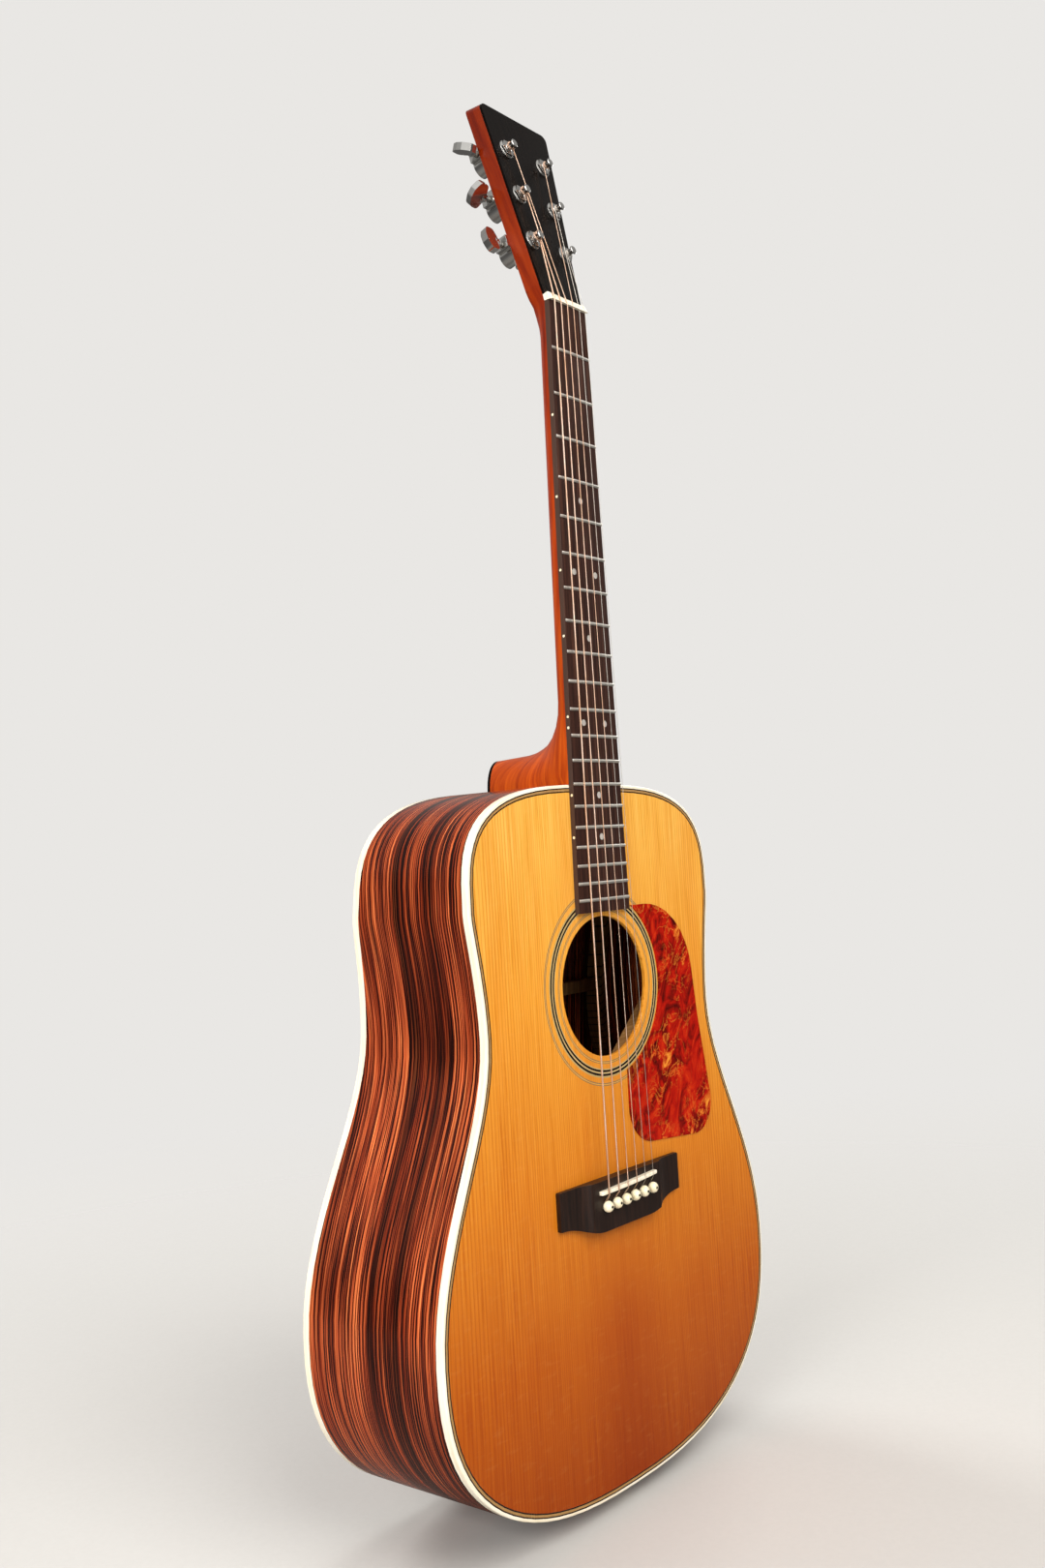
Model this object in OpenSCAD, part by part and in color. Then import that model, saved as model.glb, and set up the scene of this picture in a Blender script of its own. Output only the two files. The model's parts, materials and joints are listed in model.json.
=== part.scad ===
// Steel-string acoustic guitar, built up from its separate pieces.
// Millimetres. X runs from the bass side to the treble side, Y from the soundboard to the back,
// Z up along the neck. The origin is on the middle plane, in the glue plane of the fingerboard,
// where the arms of a hanger take the flare of the head.

/* [Strings and neck] */
// Vibrating length of the open strings
scale_length = 645.2; // [640:0.1:650]
// Height of the hanging point above the nut
hang_above_nut = 14; // [10:0.5:20]
// Width of the nut
nut_width = 44.4; // [43.5:0.1:45.5]
// Width of the fingerboard at the twelfth fret
twelfth_fret_width = 57; // [56:0.1:58]
// Thickness of the fingerboard along its middle
board_t = 5; // [4.6:0.1:5.6]
// Radius of the cambered face of the fingerboard
board_camber = 406; // [380:1:450]
// Length of the fingerboard from the nut
board_length = 451; // [449:0.5:452]
// Depth of the neck wood at the nut
neck_depth_nut = 13.8; // [13:0.1:15]
// Depth of the neck wood where the heel begins
neck_depth_heel = 16.5; // [16:0.1:18]
// Depth of the heel without its cap
heel_depth = 88; // [84:0.5:92]
// Spread of the outer strings at the nut
nut_spread = 38; // [37:0.1:38.4]
// Spread of the outer strings at the bridge
bridge_spread = 55.8; // [55:0.1:56.5]

/* [Head] */
// Angle of the head behind the neck
head_pitch = 13.5; // [13:0.1:14.5]
// Length of the head along its face
head_length = 163; // [160:0.5:166]
// Width of the head at its top
head_top_width = 79; // [77.5:0.1:80.5]
// Thickness of the head wood
head_t = 13; // [12.5:0.1:13.5]
// Thickness of the head veneer
veneer_t = 2; // [1.6:0.1:2.2]
// Height of the lowest row of tuner posts above the nut, along the face
first_post = 49.8; // [48:0.1:52]
// Distance between rows of tuner posts
post_pitch = 38.8; // [38:0.1:39.5]
// Distance of the lowest posts from the middle of the head
post_offset = 19.8; // [19.7:0.1:20]
// Extra distance from the middle at each row above the lowest
post_flare = 0.9; // [0.8:0.05:1]

/* [Body] */
// Length of the body
body_length = 503; // [498:0.1:508]
// Width across the upper bout
upper_bout_width = 290.4; // [286:0.1:294]
// Distance of the widest upper bout from the neck joint
upper_bout_at = 85.6; // [82:0.1:88]
// Width across the waist
waist_width = 270.8; // [266:0.1:274]
// Distance of the waist from the neck joint
waist_at = 170; // [165:0.1:175]
// Width across the lower bout
lower_bout_width = 387.9; // [382:0.1:397]
// Distance of the widest lower bout from the neck joint
lower_bout_at = 365; // [360:0.1:370]
// How square the shoulders are, 2 being round
shoulder_square = 3.2; // [2.8:0.05:3.5]
// How square the tail is, 2 being round
tail_square = 2.5; // [2.2:0.05:2.8]
// Depth of the sides at the neck
depth_at_neck = 98.4; // [97:0.1:100]
// Depth of the sides at the tail
depth_at_tail = 127.9; // [125:0.1:130]
// Rise of the lengthwise arch of the back
back_arch = 10.7; // [9:0.1:12]
// Radius of the sound hole
hole_r = 50.8; // [49:0.1:52]
// Distance of the sound hole's centre from the nut
hole_at = 505; // [503:0.1:507]

/* [Body walls] */
// Thickness of the soundboard
top_t = 3; // [2.8:0.1:3.2]
// Thickness of the back
back_t = 2.8; // [2.5:0.1:3]
// Thickness of the sides and the bindings
rim_t = 2.2; // [2:0.1:2.4]
// Height of the bindings on the sides
binding_h = 5.5; // [5:0.1:6]
// Width of the purfling lines beside the top binding
purfling_w = 3.4; // [3:0.1:3.8]
// Depth of the inlaid purfling and rosette
inlay_t = 1.2; // [1:0.1:1.4]

/* [Bridge] */
// Length of the bridge across the body
bridge_w = 146; // [144:0.5:150]
// Distance of the bridge's front edge from the nut
bridge_at = 639.5; // [638.5:0.1:640]
// Width of the bridge at its wings
bridge_wing = 26.8; // [25:0.1:27.5]
// Depth of the belly behind the wings
bridge_belly = 8.8; // [8:0.1:11]
// Height of the middle of the bridge
bridge_h = 8.4; // [8:0.1:8.8]
// Distance of the saddle's middle from the nut
saddle_at = 646.4; // [646:0.1:647]
// Height of the saddle's crown above the soundboard
saddle_h = 12.7; // [12:0.1:13]
// Distance of the row of pins from the nut
pins_at = 656.5; // [656:0.1:657]
// Thickness of the pickguard
pickguard_t = 0.8; // [0.6:0.1:1]

/* [Tuners] */
// Teeth on the gear of each tuner post
gear_teeth = 14; // [14:1:14]
// Radius of the gear at the middle of its teeth
gear_r = 4.2; // [4.2:0.1:4.2]
// Depth of the tuner housing behind the head
housing_t = 12; // [12:0.1:12.5]
// Distance from a post to the middle of its button
button_reach = 22; // [21.5:0.1:23]
// Width of a button
button_w = 19; // [18:0.5:20]
// Thickness of a button
button_t = 5.6; // [5:0.1:6]

/* [Hidden] */

$fn = 48;
over = 1;

// Frets and fingerboard
fret_count = 20;
joint_fret = 14;
fret_h = 1;
fret_w = 2.4;
tang_w = 0.6;
tang_depth = 2;
nut_t = 5;
nut_h = 7.3;
nut_back_h = 5.2;
dot_r = 2.4;
dot_depth = 1.2;
side_dot_r = 1;
single_dots = [5, 9, 15, 17];
double_dots = [7, 12];
side_dots = [3, 5, 7, 9, 15, 17];
double_dot_x = 13;

function fret_at(n) = scale_length * (1 - pow(2, -n / 12));
function board_half(d) =
    (nut_width + (twelfth_fret_width - nut_width) * d / (scale_length / 2)) / 2;
function space_at(n) = (fret_at(n) + fret_at(n - 1)) / 2;

nut_z = -hang_above_nut;
joint_d = fret_at(joint_fret);
joint_z = nut_z - joint_d;
tail_z = joint_z - body_length;
hole_z = nut_z - hole_at;
camber_y = board_camber - board_t;
deepest = depth_at_tail * 1.2;

// Body outline, as half-widths and distances below the neck joint
upper_half = upper_bout_width / 2;
waist_half = waist_width / 2;
lower_half = lower_bout_width / 2;
shoulder_steps = 16;
flank_steps = 9;
hip_steps = 14;
tail_steps = 20;
upper_turn = 0.14;
waist_turn_up = 0.45;
waist_turn_down = 0.3;
lower_turn = 0.39;

function bezier(p, q, r, s, t) =
    pow(1 - t, 3) * p + 3 * pow(1 - t, 2) * t * q + 3 * (1 - t) * t * t * r + pow(t, 3) * s;
function leg(w0, d0, w1, d1, k0, k1, t) =
    bezier([w0, d0], [w0, d0 + k0 * (d1 - d0)], [w1, d1 - k1 * (d1 - d0)], [w1, d1], t);

half_outline = concat(
    [for (i = [0:shoulder_steps]) let (a = 90 * i / shoulder_steps)
        [upper_half * pow(sin(a), 2 / shoulder_square),
         upper_bout_at * (1 - pow(cos(a), 2 / shoulder_square))]],
    [for (i = [1:flank_steps])
        leg(upper_half, upper_bout_at, waist_half, waist_at, upper_turn, waist_turn_up,
            i / flank_steps)],
    [for (i = [1:hip_steps])
        leg(waist_half, waist_at, lower_half, lower_bout_at, waist_turn_down, lower_turn,
            i / hip_steps)],
    [for (i = [1:tail_steps]) let (a = 90 * i / tail_steps)
        [lower_half * pow(cos(a), 2 / tail_square),
         lower_bout_at + (body_length - lower_bout_at) * pow(sin(a), 2 / tail_square)]]);
half_last = len(half_outline) - 1;

// Neighbours of an outline point, mirrored across the middle at both ends
function outline_point(i) =
    i < 0 ? [-half_outline[1].x, half_outline[1].y]
    : i > half_last ? [-half_outline[half_last - 1].x, half_outline[half_last - 1].y]
    : half_outline[i];
function inward(i) =
    let (t = outline_point(i + 1) - outline_point(i - 1))
    [-t.y, t.x] / norm(t);
// The treble half of the outline, moved inwards by a distance, in X and Z
function half_rim(inset) =
    [for (i = [0:half_last]) let (p = half_outline[i] + inset * inward(i)) [p.x, joint_z - p.y]];
function mirrored(points) = [for (p = points) [-p.x, p.y]];
function reversed(points) = [for (i = [len(points) - 1:-1:0]) points[i]];
function full_rim(inset) =
    let (h = half_rim(inset))
    concat(h, [for (i = [half_last - 1:-1:1]) [-h[i].x, h[i].y]]);
function half_ring(outer, inner) = concat(half_rim(outer), reversed(half_rim(inner)));

// The lengthwise profile of the back's outer face
back_steps = 16;
back_margin = 0.02;
function back_y(z) =
    let (t = (joint_z - z) / body_length)
    depth_at_neck + (depth_at_tail - depth_at_neck) * t + 4 * back_arch * t * (1 - t);
function back_line(inset) =
    [for (i = [0:back_steps])
        let (t = -back_margin + (1 + 2 * back_margin) * i / back_steps, z = joint_z - t * body_length)
        [back_y(z) - inset, z]];

// A flat shape drawn in X and Z, given thickness from one depth to another
module plate(y0, y1) translate([0, y1, 0]) rotate([90, 0, 0]) linear_extrude(y1 - y0) children();
// A profile drawn in Y and Z, drawn out evenly to both sides
module across(w) rotate([90, 0, 90]) translate([0, 0, -w / 2]) linear_extrude(w) children();
// All that lies in front of the back's outer face, less an inset
module under_back(inset)
    across(lower_bout_width + 20)
    polygon(concat(back_line(inset), [[-20, tail_z - 20], [-20, joint_z + 20]]));
// A layer of the back between two insets from its outer face
module back_layer(outer, inner)
    across(lower_bout_width + 20)
    polygon(concat(back_line(outer), reversed(back_line(inner))));
// A round bar along Y, with its ends given as depths
module along_y(x, z, y0, y1, r0, r1)
    translate([x, y0, z]) rotate([-90, 0, 0]) cylinder(h = y1 - y0, r1 = r0, r2 = r1);
module ring_y(x, z, y0, y1, outer, inner)
    translate([x, y0, z]) rotate([-90, 0, 0]) difference() {
        cylinder(h = y1 - y0, r = outer, $fn = 96);
        translate([0, 0, -over]) cylinder(h = y1 - y0 + 2 * over, r = inner, $fn = 96);
    }

// One corner of a polygon, rounded between the unit directions of its two edges
corner_steps = 8;
function corner(p, u, v, r) =
    r == 0 ? [p]
    : let (half = acos(u * v) / 2, c = p + (u + v) / norm(u + v) * r / sin(half),
           s = p + u * r / tan(half) - c, e = p + v * r / tan(half) - c)
    [for (k = [0:corner_steps]) let (q = s + (e - s) * k / corner_steps) c + r * q / norm(q)];
function unit(v) = v / norm(v);
// A polygon whose corners are rounded, each to its own radius, or sharp where that is nought
function rounded(points, radii) =
    let (n = len(points))
    [for (i = [0:n - 1])
        each corner(points[i], unit(points[(i + n - 1) % n] - points[i]),
                    unit(points[(i + 1) % n] - points[i]), radii[i])];

// Inlays of the top
rosette_rings = [[54.6, 56.4], [60, 66.3], [70.1, 72.1]];
ivory = "#efe3c2";
spruce = "#d98a2b";
rosewood = "#4a1c12";
mahogany = "#8a3518";
ebony = "#171210";
nickel = "#c9c6c0";

// Bridge, saddle and pins
saddle_len = 68;
saddle_t = 2.8;
saddle_slot = 4.2;
saddle_slant = 0.85;
pin_slant = 0.8;
string_count = 6;
pin_hole_r = 2.8;
pin_taper = 0.05;
pin_gap = 0.1;
pin_length = 17;
pin_head_r = 4.05;
plate_t = 2.4;
string_r = [0.16, 0.21, 0.31, 0.41, 0.54, 0.68];
string_gap = 0.08;
plain_count = 2;

// Strings are counted from the thin treble one
function string_x(n, spread) = spread / 2 - spread * (n - 1) / (string_count - 1);
function saddle_z(x) = nut_z - saddle_at + saddle_slant * x / (bridge_spread / 2);
function pin_z(x) = nut_z - pins_at + pin_slant * x / (bridge_spread / 2);
function pin_r(y) = pin_hole_r - pin_taper * (y + bridge_h);

// Tapered holes for the pins, each with a slot in front of it for its string
module pin_holes(y0, y1)
    for (n = [1:string_count]) let (x = string_x(n, bridge_spread), w = string_r[n - 1] + string_gap) {
        along_y(x, pin_z(x), y0, y1, pin_r(y0), pin_r(y1));
        translate([x - w, y0, pin_z(x)]) cube([2 * w, y1 - y0, ball_lead + w]);
    }

// Soundboard with its hole, its inlay channels and the holes of the bridge pins
module soundboard() color(spruce) difference() {
    plate(0, top_t) polygon(full_rim(rim_t));
    along_y(0, hole_z, -over, top_t + over, hole_r, hole_r);
    plate(-over, inlay_t) difference() {
        polygon(full_rim(rim_t - over));
        polygon(full_rim(rim_t + purfling_w));
    }
    for (r = rosette_rings) ring_y(0, hole_z, -over, inlay_t, r[1], r[0]);
    pin_holes(-over, top_t + over);
}

module rosette() color(ivory)
    for (r = rosette_rings) ring_y(0, hole_z, 0, inlay_t, r[1], r[0]);

module top_purfling() color("#2a1a10") plate(0, inlay_t) difference() {
    polygon(full_rim(rim_t));
    polygon(full_rim(rim_t + purfling_w));
}

module top_binding() color(ivory) plate(0, binding_h) difference() {
    polygon(full_rim(0));
    polygon(full_rim(rim_t));
}

module back_binding() color(ivory) intersection() {
    plate(depth_at_neck / 2, deepest) difference() {
        polygon(full_rim(0));
        polygon(full_rim(rim_t));
    }
    back_layer(0, binding_h);
}

// Sides, which meet under the heel and stop at the wedge in the tail
wedge_front_w = 11;
wedge_back_w = 15;
bolt_r = 3;
bolt_head_r = 5.5;
bolt_head_t = 4;
bolt_depths = [28, 62];
bolt_in_heel = 20;
end_pin_y = 62;
end_pin_r = 4.6;
end_pin_tip_r = 4;
end_pin_depth = 20;
end_pin_collar_r = 6;
end_pin_waist_r = 4.2;
end_pin_head_r = 7;

module wedge_gap()
    translate([0, 0, tail_z - over]) linear_extrude(rim_t + 2 * over)
    polygon([[-wedge_front_w / 2, 0], [wedge_front_w / 2, 0],
             [wedge_back_w / 2, depth_at_tail], [-wedge_back_w / 2, depth_at_tail]]);

module bolt_shanks()
    for (y = bolt_depths) translate([0, y, joint_z - block_d])
        cylinder(h = block_d + bolt_in_heel, r = bolt_r);

module end_pin_shank()
    translate([0, end_pin_y, tail_z])
    cylinder(h = end_pin_depth, r1 = end_pin_r, r2 = end_pin_tip_r);

module rim_ring(outer, inner) difference() {
    polygon(full_rim(outer));
    polygon(full_rim(inner));
}

module side_half() difference() {
    intersection() {
        plate(binding_h, deepest) polygon(half_ring(0, rim_t));
        under_back(binding_h);
    }
    wedge_gap();
    bolt_shanks();
}

module side_treble() color(rosewood) side_half();
module side_bass() color(rosewood) mirror([1, 0, 0]) side_half();

module tail_wedge() color(ivory) difference() {
    intersection() {
        plate(binding_h, deepest) rim_ring(0, rim_t);
        under_back(binding_h);
        wedge_gap();
    }
    end_pin_shank();
}

// Back, in two halves with a strip let in along the joint
strip_w = 6;

module back_half() intersection() {
    plate(depth_at_neck / 2, deepest) intersection() {
        polygon(full_rim(rim_t));
        translate([strip_w / 2, tail_z]) square([lower_bout_width, body_length]);
    }
    back_layer(0, back_t);
}

module back_treble_half() color(rosewood) back_half();
module back_bass_half() color(rosewood) mirror([1, 0, 0]) back_half();
module back_center_strip() color("#c79a5a") intersection() {
    plate(depth_at_neck / 2, deepest) intersection() {
        polygon(full_rim(rim_t));
        translate([-strip_w / 2, tail_z]) square([strip_w, body_length]);
    }
    back_layer(0, back_t);
}

// Blocks and linings inside the rim
block_d = 48;
neck_block_w = 60;
tail_block_d = 22;
tail_block_w = 70;
lining_w = 6;
lining_h = 15;

module neck_block_outline()
    translate([-neck_block_w / 2, joint_z - block_d]) square([neck_block_w, block_d]);
module tail_block_outline()
    translate([-tail_block_w / 2, tail_z]) square([tail_block_w, tail_block_d]);

module neck_block() color("#a86a3c") difference() {
    intersection() {
        plate(top_t, deepest) intersection() {
            polygon(full_rim(rim_t));
            neck_block_outline();
        }
        under_back(back_t);
    }
    bolt_shanks();
}

module tail_block() color("#a86a3c") difference() {
    intersection() {
        plate(top_t, deepest) intersection() {
            polygon(full_rim(rim_t));
            tail_block_outline();
        }
        under_back(back_t);
    }
    end_pin_shank();
}

module lining_outline() difference() {
    rim_ring(rim_t, rim_t + lining_w);
    neck_block_outline();
    tail_block_outline();
}

module top_linings() color("#b98a55") plate(top_t, top_t + lining_h) lining_outline();
module back_linings() color("#b98a55") intersection() {
    plate(depth_at_neck / 2, deepest) lining_outline();
    back_layer(back_t, back_t + lining_h);
}

// Braces, placed by their distance below the neck joint
brace_inset = rim_t + lining_w + 0.3;
x_brace_at = 226;
x_brace_angle = 49;
x_brace_w = 8;
x_brace_h = 13;
transverse_at = 80;
transverse_w = 9;
bar_w = 7;
bar_h = 9;
tone_bar_slant = 15;
tone_bars = [[352, 180], [402, 210]];
finger_braces = [[105, 262, 60], [70, 205, 50]];
back_brace_at = [80, 160, 265, 370];
back_brace_w = 10;
back_brace_h = 12;

// A straight bar seen in X and Z, turned from the upright
module bar(x, d, angle, length, w) intersection() {
    polygon(full_rim(brace_inset));
    translate([x, joint_z - d]) rotate(angle) square([w, length], center = true);
}
module x_leg(angle) bar(0, x_brace_at, angle, 3 * lower_bout_width, x_brace_w);

module x_brace_bass() color("#d8b173") difference() {
    plate(top_t, top_t + x_brace_h) x_leg(x_brace_angle);
    plate(top_t + x_brace_h / 2, top_t + x_brace_h + over) x_leg(-x_brace_angle);
}
module x_brace_treble() color("#d8b173") difference() {
    plate(top_t, top_t + x_brace_h) x_leg(-x_brace_angle);
    plate(top_t - over, top_t + x_brace_h / 2) x_leg(x_brace_angle);
}

module top_braces() color("#d8b173") {
    plate(top_t, top_t + x_brace_h) bar(0, transverse_at, 90, lower_bout_width, transverse_w);
    plate(top_t, top_t + bar_h) {
        for (b = tone_bars) bar(0, b[0], 90 - tone_bar_slant, b[1], bar_w);
        for (side = [-1, 1], b = finger_braces)
            bar(side * b[0], b[1], -side * (90 - x_brace_angle), b[2], bar_w);
    }
}

plate_w = 104;
plate_before = 2;
plate_len = 43;

module bridge_plate() color("#e0c391") difference() {
    plate(top_t, top_t + plate_t)
        translate([-plate_w / 2, nut_z - bridge_at + plate_before - plate_len])
        square([plate_w, plate_len]);
    pin_holes(top_t - over, top_t + plate_t + over);
}

module back_braces() color("#d8b173") intersection() {
    plate(depth_at_neck / 2, deepest)
        for (d = back_brace_at) bar(0, d, 90, lower_bout_width, back_brace_w);
    back_layer(back_t, back_t + back_brace_h);
}

// The head lies in its own plane, turned back about the front edge of the nut
module in_head() translate([0, 0, nut_z]) rotate([-head_pitch, 0, 0]) children();
function from_head(p) =
    [p.x,
     p.y * cos(head_pitch) + p.z * sin(head_pitch),
     nut_z - p.y * sin(head_pitch) + p.z * cos(head_pitch)];
function head_half(z) = (nut_width + (head_top_width - nut_width) * z / head_length) / 2;

// The neck is a loft of cross-sections from the root of the head to the end of the heel.
// Each section runs from its bass edge, round the back, to its treble edge.
head_root = 14;
blend_end = 25;
// Places of the blending sections, above the nut and then below it
blend_at = [head_root, head_root / 2, 0, -blend_end / 3, -blend_end * 2 / 3, -blend_end];
section_sides = 20;
back_roundness = 0.9;
heel_curve_y = 62;
heel_curve_d = 297;
heel_tip_d = 331.3;
heel_tip_half = 14;
heel_end_tip_d = 332.5;
heel_taper = 1.3;

function d_curve(i) =
    let (a = 180 * i / section_sides) [-cos(a), pow(sin(a), back_roundness)];
// The same walk along three sides of a rectangle
function box_curve(i) =
    let (t = 4 * i / section_sides)
    t <= 1 ? [-1, t] : t >= 3 ? [1, 4 - t] : [t - 2, 1];
function neck_depth(d) =
    neck_depth_nut + (neck_depth_heel - neck_depth_nut) * min(1, d / heel_curve_d);

// Root of the head, from a flat rectangle to the round back of the neck
function blend_section(s) =
    let (f = (head_root - s) / (head_root + blend_end),
         ease = f * f * (3 - 2 * f), turn = head_pitch * (1 - ease),
         w = s > 0 ? head_half(s) : board_half(-s),
         deep = head_t + (neck_depth(blend_end) - head_t) * ease,
         y0 = s > 0 ? s * sin(head_pitch) : 0,
         z0 = nut_z + (s > 0 ? s * cos(head_pitch) : s))
    [for (i = [0:section_sides])
        let (p = (1 - ease) * box_curve(i) + ease * d_curve(i))
        [w * p[0], y0 + deep * p[1] * cos(turn), z0 - deep * p[1] * sin(turn)]];
function shaft_section(d) =
    [for (i = [0:section_sides])
        let (p = d_curve(i)) [board_half(d) * p[0], neck_depth(d) * p[1], nut_z - d]];

// Sections of the heel fan out from a pivot in its hollow, from across the neck to across the heel
heel_a = heel_curve_y - neck_depth_heel;
heel_b = heel_tip_d - heel_curve_d;
heel_corner = atan((joint_d - heel_curve_d) / heel_curve_y * heel_a / heel_b);
function heel_half(y) =
    heel_tip_half + (board_half(joint_d) - heel_tip_half) * pow(1 - y / heel_depth, heel_taper);
function fan_section(a) =
    let (inner = [heel_a * cos(a), heel_b * sin(a)],
         to_face = a < 90 ? heel_curve_y / inner[0] : 1e6,
         to_body = a > 0 ? (joint_d - heel_curve_d) / inner[1] : 1e6,
         outer = min(to_face, to_body) * inner,
         w = to_face < to_body
             ? board_half(heel_curve_d + outer[1])
             : heel_half(heel_curve_y - outer[0]))
    [for (i = [0:section_sides])
        let (p = d_curve(i), q = outer + (inner - outer) * p[1])
        [w * p[0], heel_curve_y - q[0], nut_z - heel_curve_d - q[1]]];
function heel_section(y) =
    let (f = (y - heel_curve_y) / (heel_depth - heel_curve_y),
         tip = heel_tip_d + (heel_end_tip_d - heel_tip_d) * f)
    [for (i = [0:section_sides])
        let (p = d_curve(i)) [heel_half(y) * p[0], y, joint_z + (joint_d - tip) * p[1]]];

neck_sections = concat(
    [for (s = blend_at) blend_section(s)],
    [for (d = [90, 180, 270]) shaft_section(d)],
    [for (a = [0, heel_corner * 0.25, heel_corner * 0.5, heel_corner * 0.75, heel_corner])
        fan_section(a)],
    [for (k = [1:5]) fan_section(heel_corner + (90 - heel_corner) * k / 5)],
    [heel_section((heel_curve_y + heel_depth) / 2), heel_section(heel_depth)]);

module loft(sections) {
    m = len(sections[0]);
    n = len(sections);
    polyhedron(
        points = [for (s = sections) each s],
        faces = concat(
            [[for (i = [0:m - 1]) i]],
            [for (k = [0:n - 2], i = [0:m - 1]) let (j = (i + 1) % m)
                [k * m + i, (k + 1) * m + j, k * m + j]],
            [for (k = [0:n - 2], i = [0:m - 1]) let (j = (i + 1) % m)
                [k * m + i, (k + 1) * m + i, (k + 1) * m + j]],
            [[for (i = [m - 1:-1:0]) (n - 1) * m + i]]),
        convexity = 4);
}

rod_slot_w = 6.4;
rod_slot_depth = 9.5;
rod_from = 8;
rod_to = 350;
rod_r = 2.5;
rod_block = 12;

module rod_slot()
    translate([-rod_slot_w / 2, -over, nut_z - rod_to])
    cube([rod_slot_w, rod_slot_depth + over, rod_to - rod_from]);

module neck() color(mahogany) difference() {
    loft(neck_sections);
    rod_slot();
    bolt_shanks();
}

module truss_rod() color("#6b6b6e") {
    translate([0, rod_slot_depth / 2, nut_z - rod_to]) cylinder(h = rod_to - rod_from, r = rod_r);
    for (d = [rod_from + rod_block, rod_to])
        translate([-rod_slot_w / 2, 0, nut_z - d])
        cube([rod_slot_w, rod_slot_depth, rod_block]);
}

module neck_bolts() color("#6b6b6e") {
    bolt_shanks();
    for (y = bolt_depths) translate([0, y, joint_z - block_d - bolt_head_t])
        cylinder(h = bolt_head_t, r = bolt_head_r, $fn = 6);
}

heel_cap_t = 3;

module heel_cap() color(ebony) plate(heel_depth, heel_depth + heel_cap_t)
    polygon([for (p = heel_section(heel_depth)) [p.x, p.z]]);

// Head and its veneer
head_corner_r = 5;

// The end of the head is sawn level, square to the neck and not to the head
function head_end(y) = head_length + y * tan(head_pitch);
function head_outline(z0, y) =
    rounded([[-head_half(z0), z0], [head_half(z0), z0],
             [head_half(head_end(y)), head_end(y)], [-head_half(head_end(y)), head_end(y)]],
            [0, 0, head_corner_r, head_corner_r]);
module head_block(z0, y0, y1)
    in_head() loft([for (y = [y1, y0]) [for (p = head_outline(z0, y)) [p.x, y, p.y]]]);

module headstock() color(mahogany) difference() {
    head_block(head_root, 0, head_t);
    each_tuner() {
        along_y(0, 0, -over, head_t + over, bushing_r, bushing_r);
        along_y(0, -ear_z, head_t - screw_bite, head_t + over, screw_r, screw_r);
    }
}

module headstock_veneer() color(ebony) difference() {
    head_block(nut_t, -veneer_t, 0);
    each_tuner() along_y(0, 0, -veneer_t - over, over, bushing_r, bushing_r);
}

// Fingerboard with a slot for each fret tang and pockets for the markers
module board_blank() intersection() {
    plate(-board_t - over, 0)
        polygon([[-board_half(0), nut_z], [board_half(0), nut_z],
                 [board_half(board_length), nut_z - board_length],
                 [-board_half(board_length), nut_z - board_length]]);
    translate([0, camber_y, nut_z - board_length - over])
        cylinder(h = board_length + 2 * over, r = board_camber, $fn = 256);
}

fret_inset = 0.3;
crown_steps = 8;

// A section drawn from the camber's axis, bent across the board at one fret
module on_camber(n) {
    angle = 2 * asin((board_half(fret_at(n)) - fret_inset) / board_camber);
    translate([0, camber_y, nut_z - fret_at(n)]) rotate([0, 0, 270 - angle / 2])
        rotate_extrude(angle = angle, $fn = 256) children();
}

module tang_section()
    translate([board_camber - tang_depth, -tang_w / 2]) square([tang_depth, tang_w]);
module fret_section()
    polygon(concat(
        [[board_camber, -tang_w / 2], [board_camber - tang_depth, -tang_w / 2],
         [board_camber - tang_depth, tang_w / 2], [board_camber, tang_w / 2]],
        [for (k = [0:crown_steps]) let (a = 180 * k / crown_steps)
            [board_camber + fret_h * sin(a), fret_w / 2 * cos(a)]]));

// Markers in the face and on the bass edge, or their pockets where they stand proud
double_side_gap = 4;
side_dot_y = -2.2;
module dots(proud) {
    for (n = single_dots) face_dot(0, n, proud);
    for (n = double_dots, side = [-1, 1]) face_dot(side * double_dot_x, n, proud);
    for (n = side_dots) side_dot(space_at(n), proud);
    for (d = [-double_side_gap, double_side_gap]) side_dot(space_at(12) + d, proud);
}
// A face dot is flush with the camber at its rim
module face_dot(x, n, proud) {
    rim = sqrt(pow(board_camber, 2) - pow(dot_r, 2));
    translate([0, camber_y, nut_z - space_at(n)]) rotate([0, 0, asin(x / board_camber)])
        along_y(0, 0, -rim - proud, dot_depth - rim, dot_r, dot_r);
}
module side_dot(d, proud)
    translate([-board_half(d) - proud, side_dot_y, nut_z - d]) rotate([0, 90, 0])
    cylinder(h = proud + dot_depth, r = side_dot_r);

module fingerboard() color("#1d1411") difference() {
    board_blank();
    for (n = [1:fret_count]) on_camber(n) tang_section();
    dots(over);
}

module frets() color(nickel) for (n = [1:fret_count]) on_camber(n) fret_section();

module position_markers() color("#e9e6da") dots(0);

// Nut, standing on the root of the head
module nut() color(ivory) difference() {
    across(nut_width) polygon([
        [0, nut_z], [-nut_h, nut_z],
        [from_head([0, -nut_back_h, nut_t]).y, from_head([0, -nut_back_h, nut_t]).z],
        [from_head([0, 0, nut_t]).y, from_head([0, 0, nut_t]).z]]);
    for (n = [1:string_count]) nut_slot(n);
}

// An open slot under one string, in line with its run to the post
module nut_slot(n) {
    w = string_r[n - 1] + string_gap;
    run = wrap_point(n, 0) - nut_point(n);
    reach = 2 * nut_t;
    translate(nut_point(n)) rotate([0, atan2(run.x, run.z), 0]) across(2 * w)
        polygon([[w, -reach], [w, 0], [w + reach * run.y / run.z, reach], [-nut_h, reach],
                 [-nut_h, -reach]]);
}

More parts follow.
